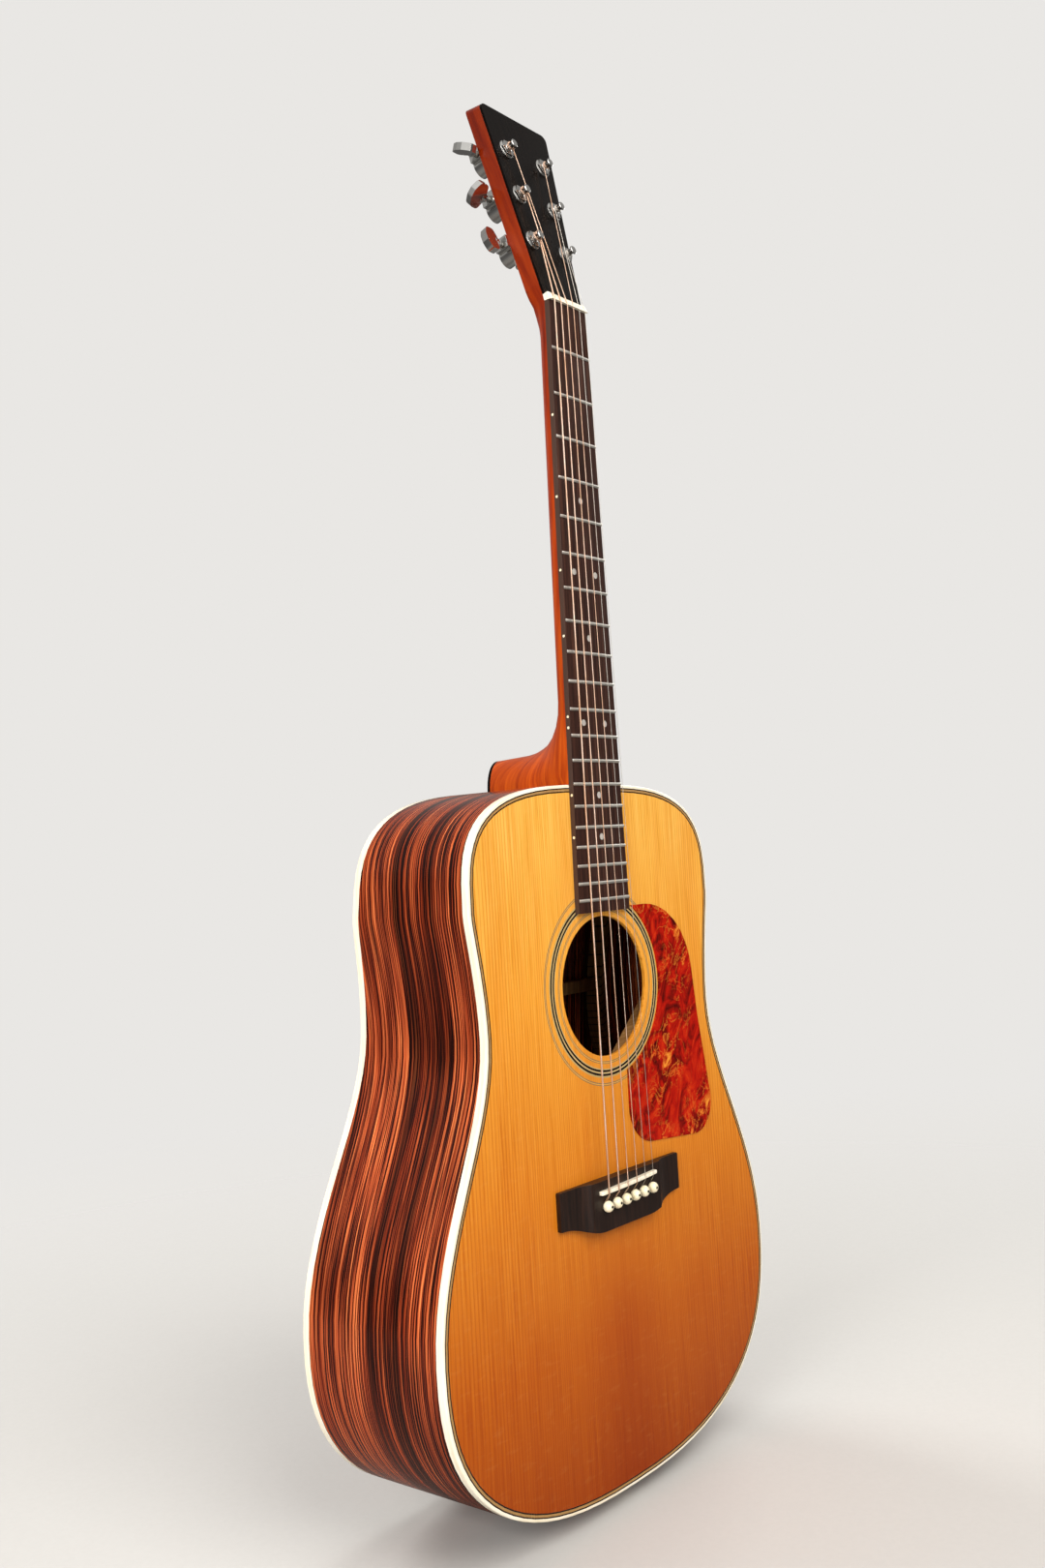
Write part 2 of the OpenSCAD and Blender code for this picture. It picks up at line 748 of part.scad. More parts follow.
// Bridge, with its scooped wings and rounded belly
scoop_from = 41;
scoop_to = 56;
wing_h = 3.6;
wing_corner_r = 1.2;
belly_half = 70;
belly_flat = 28;
belly_steps = 10;
scoop_steps = 8;

function scoop_h(t) = wing_h + (bridge_h - wing_h) * pow(1 - t, 2);
bridge_front_z = nut_z - bridge_at;
wing_low_z = bridge_front_z - bridge_wing;
// One end of the belly, an ogee from the wing to the straight middle
belly_end = [for (k = [0:belly_steps]) let (t = k / belly_steps)
    [-belly_half + (belly_half - belly_flat) * t,
     wing_low_z - bridge_belly * (1 - cos(180 * t)) / 2]];
bridge_outline = concat(
    rounded([[bridge_w / 2, wing_low_z], [bridge_w / 2, bridge_front_z],
             [-bridge_w / 2, bridge_front_z], [-bridge_w / 2, wing_low_z]],
            [for (k = [1:4]) wing_corner_r]),
    belly_end, reversed(mirrored(belly_end)));
bridge_side = [for (k = [0:scoop_steps]) let (t = k / scoop_steps)
    [scoop_from + (scoop_to - scoop_from) * t, -scoop_h(t)]];
bridge_profile = concat(
    bridge_side, [[bridge_w, -wing_h], [bridge_w, 0], [-bridge_w, 0], [-bridge_w, -wing_h]],
    reversed(mirrored(bridge_side)));

module saddle_block(h, y1) intersection() {
    translate([0, 0, nut_z - saddle_at]) rotate([0, -saddle_turn, 0])
        translate([-saddle_len / 2, -h, -saddle_t / 2]) cube([saddle_len, h + y1, saddle_t]);
    translate([0, board_camber - saddle_h, nut_z - saddle_at - 2 * saddle_t])
        cylinder(h = 4 * saddle_t, r = board_camber, $fn = 256);
}
saddle_turn = atan(saddle_slant / (bridge_spread / 2));

module bridge() color(ebony) difference() {
    intersection() {
        plate(-bridge_h - over, 0) polygon(bridge_outline);
        translate([0, 0, bridge_front_z - 2 * bridge_wing]) linear_extrude(3 * bridge_wing)
            polygon(bridge_profile);
    }
    saddle_block(saddle_h, -saddle_slot);
    pin_holes(-bridge_h - over, over);
}

module saddle() color(ivory) saddle_block(saddle_h, -saddle_slot);

pin_head_h = 6.2;
pin_groove_up = 2.2;
// The ball-like head of a pin, as parts of its radius and height
pin_head_curve = [[0.72, 0], [0.93, 0.18], [1, 0.38], [0.95, 0.6], [0.78, 0.8], [0.5, 0.94], [0, 1]];
// Each pin has a groove down its front for the string
module bridge_pins() color("#efe9d6")
    for (n = [1:string_count]) let (x = string_x(n, bridge_spread), w = string_r[n - 1] + string_gap)
        translate([x, -bridge_h, pin_z(x)]) difference() {
            rotate([90, 0, 0]) rotate_extrude()
                polygon(concat(
                    [[0, -pin_length], [pin_r(pin_length - bridge_h) - pin_gap, -pin_length],
                     [pin_hole_r - pin_gap, 0]],
                    [for (p = pin_head_curve) [pin_head_r * p.x, pin_head_h * p.y]]));
            translate([-w, -pin_groove_up, string_lead - w])
                cube([2 * w, pin_groove_up + pin_length + over, 2 * pin_head_r]);
        }

// Pickguard, whose inner edge follows the rosette
pickguard_inner_r = 67;
pickguard_corners = [[34, 448.8], [107.4, 448.8], [118.2, 542], [135, 633.8], [18.5, 623.6], [20.5, 545]];
pickguard_radii = [3, 60, 150, 24, 29, 3];

module pickguard() color("#6e2414") plate(-pickguard_t, 0) difference() {
    polygon(rounded([for (p = pickguard_corners) [p.x, nut_z - p.y]], pickguard_radii));
    translate([0, hole_z]) circle(r = pickguard_inner_r, $fn = 96);
}

module end_pin() color(ebony) {
    end_pin_shank();
    translate([0, end_pin_y, tail_z]) mirror([0, 0, 1]) rotate_extrude()
        polygon([[0, 0], [end_pin_collar_r, 0], [end_pin_collar_r, 1.5], [end_pin_waist_r, 3],
                 [end_pin_waist_r, 5.5], [end_pin_head_r, 6.5], [end_pin_head_r, 10.5],
                 [end_pin_head_r - 1.5, 11.5], [0, 11.5]]);
}

// Strings, from the ball under the bridge plate, over saddle and nut, to the turns on the post
fret_clearance = 0.7;
saddle_lift = 0.03;
saddle_lead = saddle_t / 2 + 0.25;
ball_r = 1.9;
ball_lead = 3.9;
// Rings of the ball, as places along the string and radii, both in radii of the ball
ball_rings = [[0.95, 0.3], [0.6, 0.8], [0, 1], [-0.6, 0.8], [-0.98, 0]];
string_lead = 2.15;
string_sink = 0.6;
string_sides = 8;
wrap_gap = 0.4;
wrap_pitch = 2.1;
wrap_steps = 10;

function camber_drop(x) = x * x / (2 * board_camber);
function nut_point(n) =
    let (x = string_x(n, nut_spread))
    [x, -board_t - fret_h - fret_clearance - string_r[n - 1] + camber_drop(x), nut_z];
function saddle_point(n) =
    let (x = string_x(n, bridge_spread))
    [x, -saddle_h - saddle_lift - string_r[n - 1] + camber_drop(x), saddle_z(x) - saddle_lead];
function mouth_point(n) =
    let (x = string_x(n, bridge_spread)) [x, -bridge_h + string_sink, pin_z(x) + string_lead];
function ball_point(n) =
    let (x = string_x(n, bridge_spread)) [x, top_t + plate_t + ball_r, pin_z(x) + ball_lead];
function wrap_r(n) = post_waist_r + wrap_gap + string_r[n - 1];
function wraps(n) = n <= plain_count ? 3 : 1.5;
// A point of the turns on the post, which start on its inner side and climb towards its top
function wrap_point(n, a) =
    let (h = post_waist_h + wrap_gap + string_r[n - 1] * (1 + wrap_pitch * a / 360))
    from_head([tuner_side(n) * (post_x(n) - wrap_r(n) * cos(a)), -h, post_z(n) + wrap_r(n) * sin(a)]);
function wrap_across(n, a) =
    from_head([cos(a), 0, -tuner_side(n) * sin(a)]) - from_head([0, 0, 0]);

// Stations along a string, each a point, a direction across it and a radius
function string_stations(n) =
    let (r = string_r[n - 1], along = unit(ball_point(n) - mouth_point(n)), x = [1, 0, 0])
    concat(
        [for (q = ball_rings) [ball_point(n) + along * ball_r * q[0], x, max(r, ball_r * q[1])]],
        [[mouth_point(n), x, r], [saddle_point(n), x, r], [nut_point(n), x, r]],
        [for (k = [0:wraps(n) * wrap_steps]) let (a = 360 * k / wrap_steps)
            [wrap_point(n, a), wrap_across(n, a), r]]);
function string_ring(stations, i) =
    let (p = stations[i][0], last = len(stations) - 1,
         before = i > 0 ? unit(p - stations[i - 1][0]) : [0, 0, 0],
         after = i < last ? unit(stations[i + 1][0] - p) : [0, 0, 0],
         t = unit(before + after), s = stations[i][1], u = unit(s - (s * t) * t), v = cross(t, u))
    [for (k = [0:string_sides - 1]) let (a = 360 * k / string_sides)
        p + stations[i][2] * (cos(a) * u + sin(a) * v)];

module guitar_string(n) {
    stations = string_stations(n);
    loft([for (i = [0:len(stations) - 1]) string_ring(stations, i)]);
}

module wound_strings() color("#b07a3e")
    for (n = [plain_count + 1:string_count]) guitar_string(n);
module plain_strings() color("#d8d6d0") for (n = [1:plain_count]) guitar_string(n);

// Tuners. In a tuner's own place X runs out to its button, Y into the head and Z up the head.
function tuner_side(n) = n <= string_count / 2 ? 1 : -1;
function tuner_row(n) = n <= string_count / 2 ? n - 1 : string_count - n;
function post_x(n) = post_offset + post_flare * tuner_row(n);
function post_z(n) = first_post + post_pitch * tuner_row(n);

module at_tuner(n)
    in_head() translate([tuner_side(n) * post_x(n), 0, post_z(n)])
    mirror([tuner_side(n) < 0 ? 1 : 0, 0, 0]) children();
module each_tuner() for (n = [1:string_count]) at_tuner(n) children();

running = 0.05;
post_r = 3;
post_waist_r = 2.2;
post_waist_h = 5.4;
post_waist_top = 9.4;
post_flange_r = 3.2;
post_top = 11.2;
post_pivot_r = 1.6;
string_hole_r = 0.9;
string_hole_h = 8.4;
gear_t = 2.4;
tooth_a = 0.45;
tooth_points = 6;
worm_r = 2;
mesh_gap = 0.25;
worm_y = head_t + 6.5;
worm_z = gear_r + worm_r + mesh_gap;
thread_pitch = 2 * PI * gear_r / gear_teeth;
thread_len = 6;
thread_slices = 26;
thread_sides = 12;
journal_r = 1.9;
journal_back = 7.6;
bushing_r = 5;
bushing_wall_gap = 0.1;
washer_r = 7.2;
washer_t = 0.6;
hex_r = 6.6;
hex_t = 2;
gearbox_r = 7.6;
gear_room_r = 5.3;
gear_room_front = 17.8;
cover_in = 22.6;
cover_flange_r = 6.2;
cover_flange_t = 0.9;
pivot_end = 23.2;
barrel_back = 9.5;
barrel_front = 10.5;
barrel_half = 4.6;
worm_room_r = 2.9;
worm_room_half = 4.2;
ear_z = 11.5;
ear_r = 3.3;
ear_t = 3;
screw_r = 1.4;
screw_head_r = 2.4;
screw_head_t = 1.4;
screw_bite = 8;
hub_r = 3.2;
hub_from = 13.2;
button_len = 12.7;
button_neck = 3;

// A round bar along the button's shaft
module along_x(x0, x1, r)
    translate([x0, worm_y, worm_z]) rotate([0, 90, 0]) cylinder(h = x1 - x0, r = r);

module tuner_housings() color(nickel) each_tuner() difference() {
    union() {
        plate(head_t, head_t + housing_t) {
            circle(r = gearbox_r);
            translate([-barrel_back, worm_z - barrel_half])
                square([barrel_back + barrel_front, 2 * barrel_half]);
        }
        plate(head_t, head_t + ear_t) {
            translate([0, -ear_z]) circle(r = ear_r);
            translate([-ear_r, -ear_z]) square([2 * ear_r, ear_z]);
        }
    }
    along_y(0, 0, head_t - over, head_t + housing_t, post_r + running, post_r + running);
    along_y(0, 0, gear_room_front, head_t + housing_t + over, gear_room_r, gear_room_r);
    along_y(0, -ear_z, head_t - over, head_t + ear_t + over, screw_r, screw_r);
    along_x(-worm_room_half, worm_room_half, worm_room_r);
    along_x(-journal_back - mesh_gap, barrel_front + over, journal_r + running);
}

module tuner_covers() color(nickel) each_tuner() difference() {
    union() {
        along_y(0, 0, cover_in, head_t + housing_t, gear_room_r, gear_room_r);
        along_y(0, 0, head_t + housing_t, head_t + housing_t + cover_flange_t,
                cover_flange_r, cover_flange_r - cover_flange_t / 2);
    }
    along_y(0, 0, cover_in - over, pivot_end + mesh_gap,
            post_pivot_r + running, post_pivot_r + running);
}

module tuner_bushings() color(nickel) each_tuner() difference() {
    union() {
        along_y(0, 0, -veneer_t, head_t, bushing_r - bushing_wall_gap, bushing_r - bushing_wall_gap);
        along_y(0, 0, -veneer_t - washer_t, -veneer_t, washer_r, washer_r);
        translate([0, -veneer_t - washer_t, 0]) rotate([90, 0, 0])
            cylinder(h = hex_t, r = hex_r, $fn = 6);
    }
    along_y(0, 0, -veneer_t - washer_t - hex_t - over, head_t + over,
            post_r + running, post_r + running);
}

module tuner_screws() color(nickel) each_tuner() {
    along_y(0, -ear_z, head_t - screw_bite, head_t + ear_t, screw_r, screw_r);
    along_y(0, -ear_z, head_t + ear_t, head_t + ear_t + screw_head_t,
            screw_head_r, screw_head_r * 0.7);
}

// The post, with its gear, standing through the head
module tuner_post(n) color(nickel) at_tuner(n) difference() {
    rotate([90, 0, 0]) union() {
        rotate_extrude() polygon([
            [0, -pivot_end], [post_pivot_r, -pivot_end], [post_pivot_r, 0.5 - cover_in],
            [post_r, 0.5 - cover_in], [post_r, post_waist_h - 0.5], [post_waist_r, post_waist_h],
            [post_waist_r, post_waist_top], [post_flange_r, post_waist_top + 0.4],
            [post_flange_r, post_top - 0.4], [post_flange_r - 0.5, post_top], [0, post_top]]);
        translate([0, 0, -worm_y - gear_t / 2]) linear_extrude(gear_t)
            polygon([for (k = [0:gear_teeth * tooth_points - 1])
                let (a = 360 * k / (gear_teeth * tooth_points), r = gear_r + tooth_a * cos(gear_teeth * a))
                r * [cos(a), sin(a)]]);
    }
    translate([0, -string_hole_h, 0]) rotate([0, 90, 0])
        cylinder(h = 4 * post_r, r = string_hole_r, center = true);
}

// The worm and its shaft, which turn with the button
module tuner_worm(n) color("#a9a6a0") at_tuner(n) {
    twist = 360 * thread_len / thread_pitch;
    translate([0, worm_y, worm_z]) rotate([0, 90, 0])
        linear_extrude(thread_len, center = true, twist = twist, slices = thread_slices, $fn = thread_sides)
        rotate(twist / 2) translate([tooth_a, 0]) circle(r = worm_r, $fn = thread_sides);
    along_x(-journal_back, -thread_len / 2, journal_r);
    along_x(thread_len / 2, button_reach, journal_r);
}

// How far each button stands turned at rest
button_turns = [20, 75, 40, 32, -30, 85];
button_outline = rounded(
    [for (p = [[-button_len / 2, -button_neck], [-button_len * 0.31, -button_w / 2],
               [button_len * 0.27, -button_w / 2], [button_len / 2, -button_neck],
               [button_len / 2, button_neck], [button_len * 0.27, button_w / 2],
               [-button_len * 0.31, button_w / 2], [-button_len / 2, button_neck]])
        [p.x + button_reach, p.y]],
    [1, 3, 4, 3.5, 3.5, 4, 3, 1]);

module tuner_button(n) color(nickel) at_tuner(n) difference() {
    union() {
        translate([0, worm_y, worm_z]) rotate([button_turns[n - 1], 0, 0])
            linear_extrude(button_t, center = true) polygon(button_outline);
        along_x(hub_from, button_reach - button_len / 3, hub_r);
    }
    along_x(hub_from - over, button_reach, journal_r);
}

soundboard();
rosette();
top_purfling();
top_binding();
side_bass();
side_treble();
back_bass_half();
back_treble_half();
back_center_strip();
back_binding();
tail_wedge();
neck_block();
tail_block();
top_linings();
back_linings();
x_brace_bass();
x_brace_treble();
top_braces();
bridge_plate();
back_braces();
neck();
truss_rod();
neck_bolts();
heel_cap();
headstock();
headstock_veneer();
fingerboard();
frets();
position_markers();
nut();
bridge();
saddle();
bridge_pins();
pickguard();
end_pin();
wound_strings();
plain_strings();
tuner_housings();
tuner_covers();
tuner_bushings();
tuner_screws();
tuner_button(1);  // tuner_1_button
tuner_button(2);  // tuner_2_button
tuner_button(3);  // tuner_3_button
tuner_button(4);  // tuner_4_button
tuner_button(5);  // tuner_5_button
tuner_button(6);  // tuner_6_button
tuner_worm(1);  // tuner_1_worm
tuner_worm(2);  // tuner_2_worm
tuner_worm(3);  // tuner_3_worm
tuner_worm(4);  // tuner_4_worm
tuner_worm(5);  // tuner_5_worm
tuner_worm(6);  // tuner_6_worm
tuner_post(1);  // tuner_1_post
tuner_post(2);  // tuner_2_post
tuner_post(3);  // tuner_3_post
tuner_post(4);  // tuner_4_post
tuner_post(5);  // tuner_5_post
tuner_post(6);  // tuner_6_post
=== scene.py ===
"""Looks of a steel-string acoustic guitar: its woods, lacquers, metals, inlays and strings."""

import json
import math

import bmesh
import bpy
from mathutils import Matrix, Vector


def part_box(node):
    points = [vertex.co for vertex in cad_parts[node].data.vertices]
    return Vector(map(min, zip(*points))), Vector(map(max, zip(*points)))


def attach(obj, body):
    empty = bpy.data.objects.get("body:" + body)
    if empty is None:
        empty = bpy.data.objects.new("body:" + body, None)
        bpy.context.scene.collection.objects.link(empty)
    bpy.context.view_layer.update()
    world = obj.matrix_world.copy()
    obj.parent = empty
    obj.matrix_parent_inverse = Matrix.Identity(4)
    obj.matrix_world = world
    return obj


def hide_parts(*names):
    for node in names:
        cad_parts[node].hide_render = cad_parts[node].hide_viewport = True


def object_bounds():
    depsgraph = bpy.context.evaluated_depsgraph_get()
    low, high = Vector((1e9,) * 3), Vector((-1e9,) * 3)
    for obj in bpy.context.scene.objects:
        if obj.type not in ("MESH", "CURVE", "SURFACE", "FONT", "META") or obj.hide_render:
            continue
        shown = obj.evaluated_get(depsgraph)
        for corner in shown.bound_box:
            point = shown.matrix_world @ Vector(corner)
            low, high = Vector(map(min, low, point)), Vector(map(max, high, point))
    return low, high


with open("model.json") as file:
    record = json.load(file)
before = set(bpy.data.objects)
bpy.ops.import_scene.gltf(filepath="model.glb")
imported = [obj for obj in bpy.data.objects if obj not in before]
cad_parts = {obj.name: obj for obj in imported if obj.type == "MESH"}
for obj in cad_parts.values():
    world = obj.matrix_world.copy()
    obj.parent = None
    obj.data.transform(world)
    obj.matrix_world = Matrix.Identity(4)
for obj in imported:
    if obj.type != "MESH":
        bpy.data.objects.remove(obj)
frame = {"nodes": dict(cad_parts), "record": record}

cad_box = [list(corner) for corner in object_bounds()]
record = frame["record"]
BODY_OF = {node: body for body, nodes in record["behaviour"]["bodies"].items() for node in nodes}

MM = 0.001

# Sizes that the pieces made here share with the solids, in metres
NUT_Z = -14 * MM
JOINT_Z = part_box("side_bass")[1][2]
TAIL_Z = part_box("top_binding")[0][2]
BODY_MIDDLE_Z = (JOINT_Z + TAIL_Z) / 2
HOLE_Z = NUT_Z - 505 * MM
HEAD_PITCH = math.radians(13.5)
NUT_SPREAD = 38 * MM
BRIDGE_SPREAD = 55.8 * MM
BOARD_CAMBER = 406 * MM
STRING_RADII = [r * MM for r in (0.16, 0.21, 0.31, 0.41, 0.54, 0.68)]
PLAIN_STRINGS = 2
STRING_COUNT = len(STRING_RADII)


def paint(code):
    """A colour written as six hexadecimal digits, as the linear colour that a shader takes."""
    levels = [int(code[i:i + 2], 16) / 255 for i in (1, 3, 5)]
    linear = [v / 12.92 if v <= 0.04045 else ((v + 0.055) / 1.055) ** 2.4 for v in levels]
    return (*linear, 1.0)


# Writing materials

class NodeTree:
    """A node tree that is written one node at a time."""

    def __init__(self, tree):
        self.tree = tree

    def feed(self, socket, value):
        if isinstance(value, bpy.types.NodeSocket):
            self.tree.links.new(value, socket)
        else:
            socket.default_value = value

    def add(self, kind, settings=(), **sockets):
        node = self.tree.nodes.new(kind)
        for name, value in dict(settings).items():
            setattr(node, name, value)
        for name, value in sockets.items():
            self.feed(node.inputs[name.replace("_", " ")], value)
        return node

    def math(self, operation, first, second=0.0):
        node = self.add("ShaderNodeMath", {"operation": operation})
        self.feed(node.inputs[0], first)
        self.feed(node.inputs[1], second)
        return node.outputs[0]

    def reach(self, first, second):
        """The length of a line that goes this far along each of two axes."""
        squares = [self.math("MULTIPLY", way, way) for way in (first, second)]
        return self.math("SQRT", self.math("ADD", *squares))

    def parts(self, vector):
        node = self.add("ShaderNodeSeparateXYZ", Vector=vector)
        return [node.outputs[axis] for axis in "XYZ"]

    def join(self, x, y, z):
        return self.add("ShaderNodeCombineXYZ", X=x, Y=y, Z=z).outputs[0]

    def scaled(self, vector, scale, turn=(0, 0, 0), shift=(0, 0, 0)):
        node = self.add("ShaderNodeMapping", Vector=vector, Scale=scale, Rotation=turn, Location=shift)
        return node.outputs[0]

    def noise(self, vector, scale, detail=2.0, roughness=0.5, distortion=0.0):
        node = self.add("ShaderNodeTexNoise", Vector=vector, Scale=scale, Detail=detail,
                        Roughness=roughness, Distortion=distortion)
        return node.outputs["Fac"]

    def ramp(self, value, stops, interpolation="LINEAR"):
        node = self.add("ShaderNodeValToRGB", Fac=value)
        node.color_ramp.interpolation = interpolation
        elements = node.color_ramp.elements
        for i, (at, colour) in enumerate(stops):
            element = elements[i] if i < 2 else elements.new(at)
            element.position = at
            element.color = paint(colour)
        return node.outputs["Color"]

    def range(self, value, low, high, to_low=0.0, to_high=1.0):
        node = self.add("ShaderNodeMapRange", Value=value, From_Min=low, From_Max=high,
                        To_Min=to_low, To_Max=to_high)
        return node.outputs[0]

    def blend(self, mask, first, second, mode="MIX"):
        node = self.add("ShaderNodeMix", {"data_type": "RGBA", "blend_type": mode})
        for index, value in ((0, mask), (6, first), (7, second)):
            self.feed(node.inputs[index], paint(value) if isinstance(value, str) else value)
        return node.outputs[2]

    def bump(self, height, strength, distance):
        node = self.add("ShaderNodeBump", Strength=strength, Distance=distance, Height=height)
        return node.outputs[0]

    def group(self, tree, **sockets):
        node = self.tree.nodes.new("ShaderNodeGroup")
        node.node_tree = tree
        for name, value in sockets.items():
            self.feed(node.inputs[name.replace("_", " ")], value)
        return node.outputs


def effect(name, inputs, outputs, recipe):
    """A node group with float or vector inputs, whose recipe returns its outputs by name."""
    tree = bpy.data.node_groups.new(name, "ShaderNodeTree")
    for title, kind in inputs.items():
        tree.interface.new_socket(title, in_out="INPUT", socket_type=f"NodeSocket{kind}")
    for title in outputs:
        tree.interface.new_socket(title, in_out="OUTPUT", socket_type="NodeSocketFloat")
    writer = NodeTree(tree)
    given = writer.add("NodeGroupInput").outputs
    result = writer.add("NodeGroupOutput")
    for title, value in recipe(writer, given).items():
        writer.feed(result.inputs[title], value)
    return tree


def material(name, recipe, **constants):
    """A material whose recipe returns the sockets that change over the surface."""
    made = bpy.data.materials.new(name)
    made.use_nodes = True
    writer = NodeTree(made.node_tree)
    shader = made.node_tree.nodes["Principled BSDF"]
    for title, value in constants.items():
        shader.inputs[title.replace("_", " ")].default_value = value
    place = writer.add("ShaderNodeTexCoord").outputs["Object"]
    for title, value in recipe(writer, place).items():
        writer.feed(shader.inputs[title], value)
    return made


# Effects that several finishes share

def grain_recipe(tree, given):
    """Wood seen with its growth lines across X and its length along Z."""
    x, y, z = tree.parts(given["Place"])
    per_metre = given["Lines per metre"]
    length = tree.math("DIVIDE", per_metre, given["Stretch"])
    sway = tree.noise(tree.scaled(given["Place"], (9, 9, 3)), 1.0, 2.0)
    drift = tree.math("MULTIPLY", tree.math("SUBTRACT", sway, 0.5), given["Wander"])
    across = tree.math("ADD", tree.math("ADD", x, drift), tree.math("MULTIPLY", y, 0.35))

    def layer(fineness, detail):
        wide = tree.math("MULTIPLY", per_metre, fineness)
        long = tree.math("MULTIPLY", length, fineness)
        spot = tree.join(tree.math("MULTIPLY", across, wide), tree.math("MULTIPLY", y, long),
                         tree.math("MULTIPLY", z, long))
        return tree.noise(spot, 1.0, detail, 0.6)

    return {"Lines": layer(1.0, 4.0), "Figure": layer(0.09, 2.0), "Pores": layer(3.5, 1.0)}


def polish_recipe(tree, given):
    """Gloss that varies with wiping and handling, and very fine rub marks."""
    smear = tree.noise(tree.scaled(given["Place"], (14, 14, 9)), 1.0, 4.0, 0.62)
    rub = tree.noise(tree.scaled(given["Place"], (900, 900, 60)), 1.0, 2.0)
    spread = tree.math("MULTIPLY", tree.math("SUBTRACT", smear, 0.5), given["Spread"])
    fine = tree.math("MULTIPLY", tree.math("SUBTRACT", rub, 0.5),
                     tree.math("MULTIPLY", given["Spread"], 0.4))
    return {"Roughness": tree.math("ADD", given["Roughness"], tree.math("ADD", spread, fine)),
            "Marks": rub}


GRAIN = effect("wood_grain",
               {"Place": "Vector", "Lines per metre": "Float", "Stretch": "Float", "Wander": "Float"},
               ("Lines", "Figure", "Pores"), grain_recipe)
POLISH = effect("hand_polish", {"Place": "Vector", "Roughness": "Float", "Spread": "Float"},
                ("Roughness", "Marks"), polish_recipe)


def grain(tree, place, lines, stretch, wander):
    return tree.group(GRAIN, Place=place, Lines_per_metre=lines, Stretch=stretch, Wander=wander)


def polish(tree, place, roughness, spread):
    return tree.group(POLISH, Place=place, Roughness=roughness, Spread=spread)


# Woods

# The soundboard: growth rings that widen from the joint, the darker band along the joint below the
# bridge, and how deep into the cut edge of the sound hole the painted shade begins and is full
GRAIN_SPREAD = 61.5 * MM
RING_STEP = 1.05 * MM
RING_BEND = 26.0
JOINT_SHADE_X = (4 * MM, 55 * MM)
JOINT_SHADE_Z = (NUT_Z - 740 * MM, NUT_Z - 640 * MM)
HOLE_WALL_SHADE_Y = (1 * MM, 3 * MM)


def spruce_top(tree, place):
    """Two book-matched boards, close-grained at the joint, wider outwards, with painted shade that
    darkens them to the tail.
    """
    x, y, z = tree.parts(place)
    ratio = tree.math("ADD", tree.math("DIVIDE", tree.math("ABSOLUTE", x), GRAIN_SPREAD), 1.0)
    across = tree.math("MULTIPLY", tree.math("LOGARITHM", ratio, math.e), GRAIN_SPREAD)
    board = tree.join(across, y, z)
    wood = grain(tree, board, 1500.0, 110.0, 0.003)
    silk = tree.noise(tree.scaled(place, (80, 80, 260)), 1.0, 2.0)
    lines = tree.ramp(wood["Lines"], [(0.3, "#d29232"), (0.43, "#e7ae49"), (0.6, "#f0bd5e"),
                                      (0.78, "#f8ce78")])
    tone = tree.ramp(wood["Figure"], [(0.3, "#ecc79c"), (0.7, "#fff6e6")])
    # Painted shade: the top turns darker and more saturated from the upper bout down to the tail, where
    # less light falls
    age_and_painted_shade = tree.ramp(tree.range(z, TAIL_Z, JOINT_Z),
                    [(0.0, "#a45c1e"), (0.22, "#c48434"), (0.45, "#e4b876"), (0.7, "#f9e4ba"),
                     (1.0, "#ffffff")])
    colour = tree.blend(0.5, lines, tone, "MULTIPLY")
    bend = tree.noise(tree.scaled(board, (30, 30, 1.4)), 1.0, 2.0)
    phase = tree.math("ADD", tree.math("MULTIPLY", across, 2 * math.pi / RING_STEP),
                      tree.math("MULTIPLY", bend, RING_BEND))
    late_wood = tree.range(tree.math("SINE", phase), 0.3, 1.0, 0.0, 0.5)
    colour = tree.blend(late_wood, colour, "#c37c20")
    colour = tree.blend(1.0, colour, age_and_painted_shade, "MULTIPLY")
    joint = tree.math("MULTIPLY", tree.range(tree.math("ABSOLUTE", x), *JOINT_SHADE_X, 1.0, 0.0),
                      tree.range(z, *JOINT_SHADE_Z, 0.45, 0.0))
    colour = tree.blend(joint, colour, "#d9a86a", "MULTIPLY")
    colour = tree.blend(tree.range(silk, 0.55, 0.85, 0.0, 0.06), colour, "#f6c070")
    # Painted shade, deepening down the cut edge of the sound hole
    depth = tree.range(y, *HOLE_WALL_SHADE_Y, 0.0, 0.3)
    colour = tree.blend(depth, colour, "#8a5a30", "MULTIPLY")
    gloss = polish(tree, place, 0.3, 0.1)
    return {"Base Color": colour, "Roughness": gloss["Roughness"],
            "Normal": tree.bump(wood["Lines"], 0.05, 0.0004)}


def rosewood(tree, along, place):
    """Dark red-brown wood with black streaks, laid along the third part of a place."""
    wood = grain(tree, along, 800.0, 130.0, 0.006)
    streaks = tree.ramp(wood["Lines"], [(0.37, "#0e0402"), (0.45, "#3c140b"), (0.51, "#8e3a20"),
                                        (0.57, "#cc6236"), (0.68, "#f09458")])
    tone = tree.ramp(wood["Figure"], [(0.4, "#38201a"), (0.48, "#b48c78"), (0.56, "#fff4e8")])
    colour = tree.blend(0.9, streaks, tone, "MULTIPLY")
    patch = tree.noise(tree.scaled(along, (13, 13, 7)), 1.0, 2.0)
    colour = tree.blend(tree.range(patch, 0.5, 0.7, 0.0, 0.6), colour, "#5c3e36", "MULTIPLY")
    colour = tree.blend(tree.range(wood["Pores"], 0.54, 0.66, 0.0, 0.6), colour, "#1e0a06")
    gloss = polish(tree, place, 0.18, 0.1)
    return {"Base Color": colour, "Roughness": gloss["Roughness"],
            "Normal": tree.bump(wood["Pores"], 0.05, 0.0003)}


def rosewood_side(tree, place):
    """Bent sides, whose lines lie across the depth and run on round the rim."""
    x, y, z = tree.parts(place)
    return rosewood(tree, tree.join(y, tree.math("MULTIPLY", x, 0.1), tree.math("ADD", z, x)), place)


